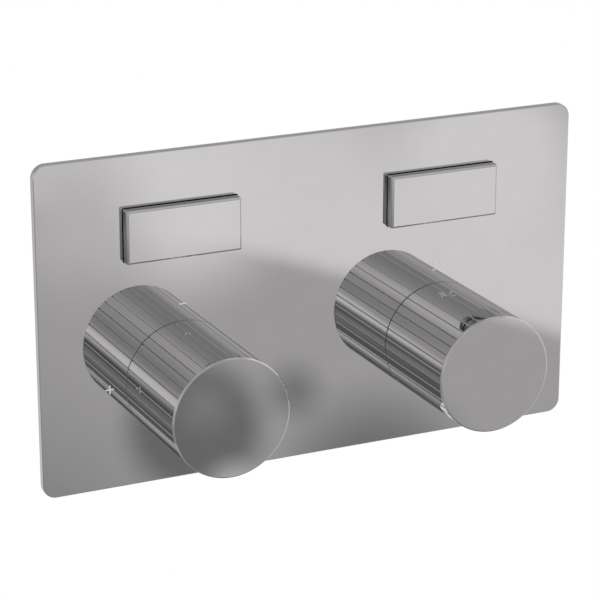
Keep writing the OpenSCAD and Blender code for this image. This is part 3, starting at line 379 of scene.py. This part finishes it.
def build_plate():
    bm = bmesh.new()
    gap = bm.verts.layers.float.new("gap")
    outer = [add_ring(bm, plate_outline(PLATE_EDGE + FLAT_MARGIN), PLATE_FRONT)]
    for step in range(EDGE_STEPS + 1):
        a = math.pi / 2 * step / EDGE_STEPS
        inset = PLATE_EDGE * (1 - math.sin(a))
        y = PLATE_FRONT + PLATE_EDGE * (1 - math.cos(a))
        outer.append(add_ring(bm, plate_outline(inset), y))
    for inset, y in ((0, -BACK_RELIEF - BACK_SLOPE), (BACK_ROUND, -BACK_RELIEF),
                     (BACK_RELIEF - BACK_ROUND, -BACK_ROUND), (BACK_RELIEF, 0), (RIM, 0), (RIM, RECESS)):
        outer.append(add_ring(bm, plate_outline(inset), y))
    wall_of_rings(bm, outer)
    front_rings = [outer[0]]
    back_rings = [outer[-1]]
    soft = HOLE_EDGE
    hole_profile = ((soft + FLAT_MARGIN, PLATE_FRONT), (soft, PLATE_FRONT),
                    (soft * 0.3, PLATE_FRONT + soft * 0.3), (0, PLATE_FRONT + soft), (0, RECESS))
    for side in (-1, 1):
        hole = []
        for grow, y in hole_profile:
            hole.append(add_ring(bm, circle(side * KNOB_X, KNOB_Z, PLATE_HOLE_R + grow, HOLE_STEPS), y))
        wall_of_rings(bm, hole)
        front_rings.append(hole[0])
        back_rings.append(hole[-1])
        opening = []
        for grow, y in hole_profile:
            opening.append(add_ring(bm, opening_outline(side, grow), y))
        wall_of_rings(bm, opening)
        # The walls of each button opening get painted shade
        for vert in opening[-2] + opening[-1]:
            vert[gap] = 1.0
        front_rings.append(opening[0])
        back_rings.append(opening[-1])
        for ear in (-1, 1):
            x = side * KNOB_X + ear * GUIDE_EAR
            boss = []
            for r, y in ((GUIDE_BOSS_R + BOSS_FOOT, RECESS),
                         (GUIDE_BOSS_R + BOSS_FOOT_LOW, RECESS + BOSS_FOOT_LOW),
                         (GUIDE_BOSS_R, RECESS + BOSS_FOOT),
                         (GUIDE_BOSS_R, GUIDE_BOSS_END - BOSS_EDGE),
                         (GUIDE_BOSS_R - BOSS_EDGE, GUIDE_BOSS_END),
                         (GUIDE_HOLE_R + BOSS_HOLE_EDGE, GUIDE_BOSS_END),
                         (GUIDE_HOLE_R, GUIDE_BOSS_END - BOSS_HOLE_EDGE),
                         (GUIDE_HOLE_R, GUIDE_HOLE_END),
                         (DRILL_TIP_R, GUIDE_HOLE_END - DRILL_TIP)):
                boss.append(add_ring(bm, circle(x, BUTTON_Z, r, BOSS_STEPS), y))
            wall_of_rings(bm, boss)
            bm.faces.new(boss[-1])
            back_rings.append(boss[0])
    fill_flat(bm, front_rings)
    fill_flat(bm, back_rings)
    return finish_piece(bm, "cover_plate_fine", "polished_chrome", "housing", ("cover_plate",))


build_plate()


GRUB_STEPS = 32


# Takes a round hole along z, as wide as the grub screw, out of a closed mesh
def cut_grub_hole(bm, x, z_low, z_high):
    cutter = bmesh.new()
    ends = []
    for z in (z_low, z_high):
        ends.append([cutter.verts.new(((x + a) * MM, (GRUB_Y + b) * MM, z * MM))
                     for a, b in circle(0, 0, GRUB_R, GRUB_STEPS)])
    join_rings(cutter, *ends)
    cutter.faces.new(ends[0])
    cutter.faces.new(ends[1])
    bmesh.ops.recalc_face_normals(cutter, faces=cutter.faces)
    bmesh.ops.recalc_face_normals(bm, faces=bm.faces)
    objects = []
    for label, source in (("whole", bm), ("cutter", cutter)):
        mesh = bpy.data.meshes.new(label)
        source.to_mesh(mesh)
        source.free()
        objects.append(bpy.data.objects.new(label, mesh))
        bpy.context.scene.collection.objects.link(objects[-1])
    whole, tool = objects
    hole = whole.modifiers.new("hole", "BOOLEAN")
    hole.operation = "DIFFERENCE"
    hole.solver = "EXACT"
    hole.object = tool
    evaluated = whole.evaluated_get(bpy.context.evaluated_depsgraph_get())
    cut = bmesh.new()
    cut.from_mesh(evaluated.to_mesh())
    evaluated.to_mesh_clear()
    for obj in objects:
        mesh = obj.data
        bpy.data.objects.remove(obj)
        bpy.data.meshes.remove(mesh)
    return cut


# Knob: V grooves with softened shoulders that stop short of a plain front band
PLAIN_STEPS = 5
OUTLINE_STEPS = 5 + PLAIN_STEPS
GROOVE_FLOOR_POINTS = (2, 3)
GROOVE_SHOULDER = 0.05
GROOVE_LIP = 0.03
GROOVE_FLOOR_SOFT = 0.02
KNOB_FILLET = 0.06
FACE_MARGIN = 0.08
HALF_WAY_TO_HUB = 0.5 * HUB_BORE_R


def grooved_outline(cx, cz, inset=0.0):
    points = []
    period = 2 * math.pi / GROOVES
    half = GROOVE_HALF / KNOB_R
    round_off = GROOVE_SHOULDER / KNOB_R
    floor_r = KNOB_R - GROOVE_DEPTH + GROOVE_FLOOR_SOFT
    for i in range(GROOVES):
        at = math.pi / 2 + i * period
        offsets = [
            (-half - round_off, KNOB_R),
            (-half + round_off * 0.3, KNOB_R - GROOVE_LIP),
            (-round_off * 0.4, floor_r),
            (round_off * 0.4, floor_r),
            (half - round_off * 0.3, KNOB_R - GROOVE_LIP),
            (half + round_off, KNOB_R),
        ]
        free = period - 2 * (half + round_off)
        for step in range(1, PLAIN_STEPS):
            offsets.append((half + round_off + free * step / PLAIN_STEPS, KNOB_R))
        for turn, r in offsets:
            r -= inset
            points.append((cx + r * math.cos(at + turn), cz + r * math.sin(at + turn)))
    return points


def plain_outline(cx, cz, radius):
    return [(cx + (x - cx) * radius / math.hypot(x - cx, z - cz),
             cz + (z - cz) * radius / math.hypot(x - cx, z - cz))
            for x, z in grooved_outline(cx, cz)]


def build_knob(name, body, x, replaced):
    bm = bmesh.new()
    deep = bm.verts.layers.float.new("groove")
    fillet = KNOB_FILLET
    chamfer = KNOB_CHAMFER
    front = []
    for r, y in ((KNOB_R - chamfer - fillet - FACE_MARGIN, KNOB_FRONT),
                 (KNOB_R - chamfer - fillet, KNOB_FRONT),
                 (KNOB_R - chamfer + fillet * 0.1, KNOB_FRONT + fillet * 0.45),
                 (KNOB_R - chamfer + fillet, KNOB_FRONT + fillet * 1.2),
                 (KNOB_R - fillet * 1.2, KNOB_FRONT + chamfer - fillet),
                 (KNOB_R - fillet * 0.45, KNOB_FRONT + chamfer - fillet * 0.1),
                 (KNOB_R, KNOB_FRONT + chamfer + fillet),
                 (KNOB_R, KNOB_FRONT + GROOVE_STOP)):
        front.append(add_ring(bm, plain_outline(x, KNOB_Z, r), y))
    wall_of_rings(bm, front)
    bm.faces.new(front[0])
    soft = KNOB_BACK_SOFT
    back = [add_ring(bm, grooved_outline(x, KNOB_Z, inset), y)
            for inset, y in ((0.0, KNOB_FRONT + GROOVE_STOP), (0.0, KNOB_BACK - soft - FLAT_MARGIN),
                             (0.0, KNOB_BACK - soft), (0.3 * soft, KNOB_BACK - 0.3 * soft),
                             (soft, KNOB_BACK))]
    wall_of_rings(bm, back)
    # the step from the plain band to the floor of each groove
    count = len(back[0])
    for i in range(count):
        j = (i + 1) % count
        bm.faces.new([front[-1][i], front[-1][j], back[0][j], back[0][i]])
    inner = [back[-1]]
    for r, y in ((WIDE_HOLLOW_R, KNOB_BACK), (WIDE_HOLLOW_R, WIDE_HOLLOW_END),
                 (HUB_BORE_R, WIDE_HOLLOW_END), (HUB_BORE_R, HUB_BORE_END)):
        inner.append(add_ring(bm, plain_outline(x, KNOB_Z, r), y))
    wall_of_rings(bm, inner)
    bm.faces.new(inner[-1])
    # The floors of the grooves get the mask for the painted shade
    for ring in back:
        for index, vert in enumerate(ring):
            if index % OUTLINE_STEPS in GROOVE_FLOOR_POINTS:
                vert[deep] = 1.0
    bmesh.ops.remove_doubles(bm, verts=bm.verts, dist=WELD)
    bmesh.ops.dissolve_degenerate(bm, edges=bm.edges, dist=WELD)
    bm = cut_grub_hole(bm, x, KNOB_Z - KNOB_R - 1.0, KNOB_Z - HALF_WAY_TO_HUB)
    return finish_piece(bm, name, "polished_chrome", body, replaced, sharp=25.0)


build_knob("flow_knob_fine", "flow_control", -KNOB_X, ("flow_knob",))
build_knob("temperature_knob_fine", "temperature_control", KNOB_X, ("temperature_knob",))


# Button covers: a thin shell with a chamfer whose two edges are a little rounded. The sides are
# plain chrome down to the plate's front and carry painted shade in the gap behind it
GAP_BRIGHT_TO = 0.05
GAP_PAINTED_SHADE_FROM = 0.25
SHELL_ROUND = 0.1
BUTTON_CORNER_STEPS = 6
SMALLEST_CORNER = 0.12


def build_button(name, body, x, replaced):
    bm = bmesh.new()
    gap = bm.verts.layers.float.new("gap")
    chamfer = BUTTON_CHAMFER
    face = BUTTON_FACE_FILLET
    side = BUTTON_SIDE_FILLET
    shoulder = BUTTON_FRONT + chamfer
    rings = []
    for inset, y in ((chamfer + face + FLAT_MARGIN, BUTTON_FRONT),
                     (chamfer + face, BUTTON_FRONT),
                     (chamfer, BUTTON_FRONT + face * 0.35),
                     (chamfer - face * 0.7, BUTTON_FRONT + face * 0.9),
                     (side * 0.9, shoulder - side * 0.7),
                     (side * 0.55, shoulder - side * 0.35),
                     (side * 0.3, shoulder),
                     (side * 0.1, shoulder + side * 0.5),
                     (0, shoulder + side),
                     (0, PLATE_FRONT + GAP_BRIGHT_TO),
                     (0, PLATE_FRONT + GAP_PAINTED_SHADE_FROM),
                     (0, BUTTON_END - SHELL_ROUND),
                     (SHELL_ROUND, BUTTON_END),
                     (BUTTON_WALL - SHELL_ROUND, BUTTON_END),
                     (BUTTON_WALL, BUTTON_END - SHELL_ROUND),
                     (BUTTON_WALL, BUTTON_INNER)):
        corner = max(BUTTON_CORNER - inset * 0.5, SMALLEST_CORNER)
        outline = rounded_rect(x, BUTTON_Z, BUTTON_W - 2 * inset, BUTTON_H - 2 * inset, corner,
                               BUTTON_CORNER_STEPS)
        rings.append(add_ring(bm, outline, y))
        # Rings behind the plate's front get painted shade
        if y >= PLATE_FRONT + GAP_PAINTED_SHADE_FROM:
            for vert in rings[-1]:
                vert[gap] = 1.0
    wall_of_rings(bm, rings)
    bm.faces.new(rings[0])
    bm.faces.new(rings[-1])
    return finish_piece(bm, name, "polished_chrome", body, replaced, sharp=35.0)


build_button("left_button_fine", "left_push", -KNOB_X, ("left_button",))
build_button("right_button_fine", "right_push", KNOB_X, ("right_button",))


# Printed marks on the plate: a plus and a minus for the flow, a plain number for the temperature
MARK_BACK = PLATE_FRONT + 0.02
MARK_FRONT = PLATE_FRONT - 0.03
MINUS_CENTRE = (-60.7, 5.4)
MINUS_W = 3.4
MINUS_H = 0.6
PLUS_CENTRE = (-94.2, -28.0)
PLUS_REACH = 1.9
PLUS_HALF = 0.32
NUMBER_CENTRE = (63.3, 5.25)
NUMBER_H = 3.3
NUMBER_STRETCH = 1.15
CAPITAL_SHARE = 0.7
mark_paint = plain_surface("mark_paint", (0.74, 0.74, 0.735), (0.80, 0.80, 0.795), 0.0,
                           0.45, 0.60, 1600.0, 0.00002)


def build_mark(name, outline):
    bm = bmesh.new()
    front = add_ring(bm, outline, MARK_FRONT)
    back = add_ring(bm, outline, MARK_BACK)
    join_rings(bm, front, back)
    bm.faces.new(front)
    bm.faces.new(back)
    return finish_piece(bm, name, "white_plastic", "housing", material=mark_paint)


def bar_outline(x, z, w, h):
    return [(x - w / 2, z - h / 2), (x + w / 2, z - h / 2), (x + w / 2, z + h / 2), (x - w / 2, z + h / 2)]


def plus_outline(x, z, reach, half):
    return [(x + a, z + b) for a, b in (
        (-half, -reach), (half, -reach), (half, -half), (reach, -half), (reach, half), (half, half),
        (half, reach), (-half, reach), (-half, half), (-reach, half), (-reach, -half), (-half, -half))]


build_mark("mark_minus", bar_outline(*MINUS_CENTRE, MINUS_W, MINUS_H))
build_mark("mark_plus", plus_outline(*PLUS_CENTRE, PLUS_REACH, PLUS_HALF))


def build_number(name, text, x, z, height, stretch):
    curve = bpy.data.curves.new(name, "FONT")
    curve.body = text
    curve.size = height * MM / CAPITAL_SHARE
    curve.align_x = "CENTER"
    curve.align_y = "CENTER"
    curve.extrude = (MARK_BACK - MARK_FRONT) / 2 * MM
    curve.resolution_u = 8
    holder = bpy.data.objects.new(name, curve)
    bpy.context.scene.collection.objects.link(holder)
    bpy.context.view_layer.update()
    mesh = bpy.data.meshes.new_from_object(holder)
    bpy.data.objects.remove(holder)
    bm = bmesh.new()
    bm.from_mesh(mesh)
    bmesh.ops.remove_doubles(bm, verts=bm.verts, dist=WELD)
    for vert in bm.verts:
        across, up, out = vert.co
        vert.co = (x * MM + across * stretch, (MARK_FRONT + MARK_BACK) / 2 * MM - out, z * MM + up)
    return finish_piece(bm, name, "white_plastic", "housing", material=mark_paint)


build_number("mark_number", "38\u00b0C", *NUMBER_CENTRE, NUMBER_H, NUMBER_STRETCH)


# Inner threads of the four ports: a fine ridge wound along each wall
PORT_LEAD_IN = 1.0
PORT_SPARE_TURNS = 1.2
THREAD_STEPS = 40
THREAD_FADE_STEPS = 20
THREAD_FOOT_HALF = 0.5
THREAD_CREST_HALF = 0.12
THREAD_SUNK = 0.05
THREAD_CREST_SHOWS = 0.02


def add_thread(bm, outer_x, side, y, z):
    turns = PORT_THREAD_L / PORT_PITCH - PORT_SPARE_TURNS
    steps = int(turns * THREAD_STEPS)
    foot = PORT_WALL_R + THREAD_SUNK
    ridge = []
    for i in range(steps + 1):
        turn = i / THREAD_STEPS
        fade = min(1.0, i / THREAD_FADE_STEPS, (steps - i) / THREAD_FADE_STEPS)
        crest = PORT_WALL_R - THREAD_CREST_SHOWS - PORT_RIDGE * fade
        along = outer_x - side * (PORT_LEAD_IN + turn * PORT_PITCH)
        a = 2 * math.pi * turn
        points = []
        for r, shift in ((foot, -THREAD_FOOT_HALF), (crest, -THREAD_CREST_HALF),
                         (crest, THREAD_CREST_HALF), (foot, THREAD_FOOT_HALF)):
            points.append(bm.verts.new(((along + shift) * MM, (y + r * math.cos(a)) * MM,
                                        (z + r * math.sin(a)) * MM)))
        ridge.append(points)
    wall_of_rings(bm, ridge)
    bm.faces.new(ridge[0])
    bm.faces.new(ridge[-1])


def build_port_threads():
    bm = bmesh.new()
    for side in (-1, 1):
        for y, z in ((INLET_Y, INLET_Z), (OUTLET_Y, BUTTON_Z)):
            add_thread(bm, side * PORT_X, side, y, z)
    return finish_piece(bm, "port_threads", "turned_brass", "housing")


build_port_threads()


# Coil springs with closed end turns, in the space of the plain ones. One that works between two
# bodies is attached to neither body and has its place baked into its mesh
ALONG_X = 0
ALONG_Y = 1
CLOSED_TURNS = 0.75
CLOSED_SLACK = 1.03
WIRE_SIDES = 12
RINGS_PER_TURN = 36


def build_spring(node, mean_r, wire_r, curls, axis, body, moving_body=None, moving_end=0):
    low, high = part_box(node)
    middle = [(a + b) / 2 for a, b in zip(low, high)]
    first = low[axis] / MM + wire_r
    run = (high[axis] - low[axis]) / MM - 2 * wire_r
    closed_rise = CLOSED_TURNS * 2 * wire_r * CLOSED_SLACK
    open_turns = curls - 2 * CLOSED_TURNS
    open_pitch = (run - 2 * closed_rise) / open_turns
    bm = bmesh.new()
    rings = []
    count = int(curls * RINGS_PER_TURN)
    for i in range(count + 1):
        turn = i / RINGS_PER_TURN
        if turn < CLOSED_TURNS:
            rise = turn * closed_rise / CLOSED_TURNS
        elif turn < curls - CLOSED_TURNS:
            rise = closed_rise + (turn - CLOSED_TURNS) * open_pitch
        else:
            rise = run - (curls - turn) * closed_rise / CLOSED_TURNS
        a = 2 * math.pi * turn
        ring = []
        for k in range(WIRE_SIDES):
            b = 2 * math.pi * k / WIRE_SIDES
            r = mean_r + wire_r * math.cos(b)
            along = (first + rise + wire_r * math.sin(b)) * MM
            place = list(middle)
            place[axis] = along
            place[1 - axis] += r * MM * math.cos(a)
            place[2] += r * MM * math.sin(a)
            ring.append(bm.verts.new(place))
        rings.append(ring)
    wall_of_rings(bm, rings)
    bm.faces.new(rings[0])
    bm.faces.new(rings[-1])
    piece = finish_piece(bm, node + "_fine", "spring_wire", None if moving_body else body, (node,))
    if moving_body:
        start = list(middle)
        end = list(middle)
        start[axis] = (low, high)[moving_end][axis]
        end[axis] = (high, low)[moving_end][axis]
        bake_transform(piece)
    return piece


build_spring("thermostat_overload_spring", mean_r=4.3, wire_r=0.55, curls=3, axis=ALONG_Y,
             body="thermostat_slider")
build_spring("thermostat_return_spring", mean_r=9.8, wire_r=0.55, curls=3, axis=ALONG_Y,
             body="housing", moving_body="thermostat_slider")
for side_name, water, outer_end in (("left", "hot", 0), ("right", "cold", 1)):
    build_spring(side_name + "_button_spring", mean_r=4.1, wire_r=0.55, curls=6, axis=ALONG_Y,
                 body="housing", moving_body=side_name + "_push")
    build_spring(water + "_check_spring", mean_r=2.2, wire_r=0.35, curls=5, axis=ALONG_X,
                 body="housing", moving_body=water + "_check", moving_end=outer_end)


# Surroundings, told apart by the kind of ray: white behind the object, soft plain light on matt
# surfaces, and for mirrors a quiet studio of soft panels and darker screens
ROOM_LOW_LEVEL = 0.81
ROOM_HIGH_LEVEL = 0.42
SOFT_LIGHT_LOW = 0.80
SOFT_LIGHT_HIGH = 1.02

# Bright panels are a trace warmer than the screens
PANEL_TINT = (1.021, 0.987, 0.999)

# The room ends below at a plain table, whose edge the plate mirrors as a slanting line
HORIZON_UP = (0.13, 0.24, 1.0)
HORIZON_START = -0.447
HORIZON_END = -0.437
TABLE_LEVEL = 0.49

# Panels and screens: the direction towards each, the inner and outer angle of its soft edge in
# degrees, and its light level. A later one lies over an earlier one. These are seen by the edges,
# the chamfers and from behind
PANELS_AROUND = (
    ((0.2, 1.0, 0.3), 20, 55, 0.40),  # wide screen behind
    ((0.0, 0.6, 0.8), 10, 24, 1.10),  # light above and behind
    ((-0.8, 1.0, 0.1), 8, 20, 0.85),  # light behind on the left
    ((0.0, -0.1, -1.0), 20, 46, 0.26),  # screen straight below
    ((0.87, -0.08, 0.49), 12, 30, 0.92),  # light high on the right
    ((0.40, -0.32, 0.86), 6, 15, 0.60),  # over the upper chamfers
    ((0.86, 0.30, -0.10), 10, 26, 0.78),  # light on the right, behind
    ((-0.86, -0.38, -0.55), 8, 20, 0.32),  # left chamfers, lower part
    ((-0.89, -0.42, -0.14), 6, 12, 0.45),  # left chamfers, upper part
    ((-0.93, 0.0, -0.36), 8, 17, 0.10),  # dark line along the left edges
    ((0.40, 0.32, -0.86), 8, 20, 0.08),  # dark line along the lower edges
)

# A big light in front, mirrored by most of the plate and cut off at the table's edge
BIG_PANEL = ((0.645, -1.0, -0.635), 12.0, 27.0, 0.88)

# The smaller ones in front, with the distance across and up at one unit away. The plate, the
# buttons and the knobs' faces mirror them once, and the knobs' sides together with the plate twice
PANELS_IN_FRONT = (
    ((-0.580, -0.035), 2.0, 8.0, 1.00),  # knobs' sides, light
    ((-0.625, -0.230), 2.0, 8.5, 0.18),  # knobs' sides, dark
    ((-0.345, -0.575), 8.0, 19.0, 0.16),  # knobs' sides, dark
    ((-0.055, -0.620), 0.5, 5.0, 0.66),  # knobs' sides, light
    ((0.245, -0.585), 2.5, 12.0, 0.10),  # plate's lower left corner, dark
    ((-0.255, 0.845), 6.0, 17.5, 0.84),  # knobs' sides, light
    ((0.330, 0.405), 5.0, 18.0, 0.36),  # knobs' sides, dim
    ((-0.465, -0.240), 1.5, 6.0, 0.10),  # knobs' sides, dark
    ((0.510, -0.475), 1.0, 3.0, 0.24),  # plate's lower edge, dark
    ((-0.465, 0.245), 3.0, 9.0, 0.40),  # knobs' sides, dim
    ((0.410, -0.315), 0.5, 3.0, 0.92),  # left button, light
    ((0.360, -0.320), 0.0, 2.5, 0.66),  # plate's upper left corner, dim
    ((0.465, -0.415), 0.0, 1.0, 0.26),  # plate between the knobs, dark
    ((0.415, -0.425), 1.0, 2.0, 0.20),  # left knob's face, dark
    ((0.420, -0.415), 0.0, 1.0, 0.28),  # left knob's face, dark
    ((0.435, -0.460), 0.0, 1.0, 0.68),  # left knob's face, light
    ((0.605, -0.205), 2.5, 8.0, 0.38),  # plate's upper right corner, dim
    ((-0.380, -0.390), 2.0, 7.5, 0.28),  # knobs' sides, dark
    ((0.565, -0.315), 1.0, 3.0, 0.90),  # right button, light
)


def build_world():
    world = bpy.data.worlds.new("studio")
    bpy.context.scene.world = world
    world.use_nodes = True
    tree = world.node_tree
    tree.nodes.clear()
    links = tree.links
    coords = tree.nodes.new("ShaderNodeTexCoord")
    direction = coords.outputs["Generated"]

    def closeness(towards):
        node = tree.nodes.new("ShaderNodeVectorMath")
        node.operation = "DOT_PRODUCT"
        node.inputs[1].default_value = Vector(towards).normalized()
        links.new(direction, node.inputs[0])
        return node.outputs["Value"]

    def soft_step(value, start, end):
        node = tree.nodes.new("ShaderNodeMapRange")
        node.interpolation_type = "SMOOTHSTEP"
        node.inputs["From Min"].default_value = start
        node.inputs["From Max"].default_value = end
        links.new(value, node.inputs["Value"])
        return node.outputs["Result"]

    def times(a, b):
        node = tree.nodes.new("ShaderNodeMath")
        node.operation = "MULTIPLY"
        links.new(a, node.inputs[0])
        links.new(b, node.inputs[1])
        return node.outputs[0]

    def mix(factor, low, high):
        node = tree.nodes.new("ShaderNodeMix")
        node.data_type = "FLOAT"
        for value, socket in ((low, MIX_NUMBER_LOW), (high, MIX_NUMBER_HIGH)):
            if isinstance(value, float):
                node.inputs[socket].default_value = value
            else:
                links.new(value, node.inputs[socket])
        links.new(factor, node.inputs[0])
        return node.outputs[0]

    def patch(level, towards, inner, outer, value, only=None):
        angle = tree.nodes.new("ShaderNodeMath")
        angle.operation = "ARCCOSINE"
        links.new(closeness(towards), angle.inputs[0])
        near = soft_step(angle.outputs[0], math.radians(outer), math.radians(inner))
        if only is not None:
            near = times(near, only)
        return mix(near, level, value)

    above = soft_step(closeness(HORIZON_UP), HORIZON_START, HORIZON_END)
    level = mix(soft_step(closeness((0, 0, 1)), -0.9, 0.9), ROOM_LOW_LEVEL, ROOM_HIGH_LEVEL)
    level = mix(above, TABLE_LEVEL, level)
    for towards, inner, outer, value in PANELS_AROUND:
        level = patch(level, towards, inner, outer, value)
    level = patch(level, *BIG_PANEL, above)
    for (across, up), inner, outer, value in PANELS_IN_FRONT:
        level = patch(level, (across, -1.0, up), inner, outer, value)
    soft_light = mix(soft_step(closeness((0, -0.3, 1)), -1.0, 1.0), SOFT_LIGHT_LOW, SOFT_LIGHT_HIGH)

    rays = tree.nodes.new("ShaderNodeLightPath")
    mirror = tree.nodes.new("ShaderNodeMath")
    mirror.operation = "MAXIMUM"
    links.new(rays.outputs["Is Glossy Ray"], mirror.inputs[0])
    links.new(rays.outputs["Is Transmission Ray"], mirror.inputs[1])
    strength = mix(mirror.outputs[0], soft_light, level)
    strength = mix(rays.outputs["Is Camera Ray"], strength, 1.0)
    background = tree.nodes.new("ShaderNodeBackground")
    warm = times(soft_step(level, 0.25, 0.55), mirror.outputs[0])
    links.new(blend_colours(tree, warm, (1, 1, 1), PANEL_TINT), background.inputs["Color"])
    links.new(strength, background.inputs["Strength"])
    output = tree.nodes.new("ShaderNodeOutputWorld")
    links.new(background.outputs["Background"], output.inputs["Surface"])


build_world()


# Pale floor well below the object: white to the camera, unseen by mirrors
FLOOR_Z = -0.34
FLOOR_HALF = 3.0


def build_floor():
    bm = bmesh.new()
    corners = [bm.verts.new((sx * FLOOR_HALF, sy * FLOOR_HALF, FLOOR_Z))
               for sx, sy in ((-1, -1), (1, -1), (1, 1), (-1, 1))]
    bm.faces.new(corners)
    mesh = bpy.data.meshes.new("floor")
    bm.to_mesh(mesh)
    bm.free()
    floor = bpy.data.objects.new("floor", mesh)
    bpy.context.scene.collection.objects.link(floor)
    material = bpy.data.materials.new("pale_floor")
    material.use_nodes = True
    tree = material.node_tree
    tree.nodes.clear()
    matt = tree.nodes.new("ShaderNodeBsdfDiffuse")
    matt.inputs["Color"].default_value = (0.85, 0.85, 0.85, 1)
    white = tree.nodes.new("ShaderNodeEmission")
    white.inputs["Strength"].default_value = 1.0
    clear = tree.nodes.new("ShaderNodeBsdfTransparent")
    rays = tree.nodes.new("ShaderNodeLightPath")
    seen = tree.nodes.new("ShaderNodeMixShader")
    tree.links.new(rays.outputs["Is Camera Ray"], seen.inputs[0])
    tree.links.new(matt.outputs[0], seen.inputs[1])
    tree.links.new(white.outputs[0], seen.inputs[2])
    mirrored = tree.nodes.new("ShaderNodeMixShader")
    tree.links.new(rays.outputs["Is Glossy Ray"], mirrored.inputs[0])
    tree.links.new(seen.outputs[0], mirrored.inputs[1])
    tree.links.new(clear.outputs[0], mirrored.inputs[2])
    output = tree.nodes.new("ShaderNodeOutputMaterial")
    tree.links.new(mirrored.outputs[0], output.inputs["Surface"])
    mesh.materials.append(material)


build_floor()


# Camera found from the picture's outlines
CAMERA_PLACE = (-0.4433, -0.9374, 0.3453)
CAMERA_FORWARD = (0.40096, 0.85857, -0.31951)
LENS = 151.88
SHIFT_X = 0.00415
SHIFT_Y = 0.0054


def build_camera():
    data = bpy.data.cameras.new("camera")
    data.sensor_width = 36.0
    data.lens = LENS
    data.shift_x = SHIFT_X
    data.shift_y = SHIFT_Y
    data.clip_start = 0.01
    camera = bpy.data.objects.new("camera", data)
    bpy.context.scene.collection.objects.link(camera)
    camera.location = CAMERA_PLACE
    camera.rotation_euler = Vector(CAMERA_FORWARD).to_track_quat("-Z", "Y").to_euler()
    bpy.context.scene.camera = camera


build_camera()

bpy.context.scene.view_settings.view_transform = "Standard"
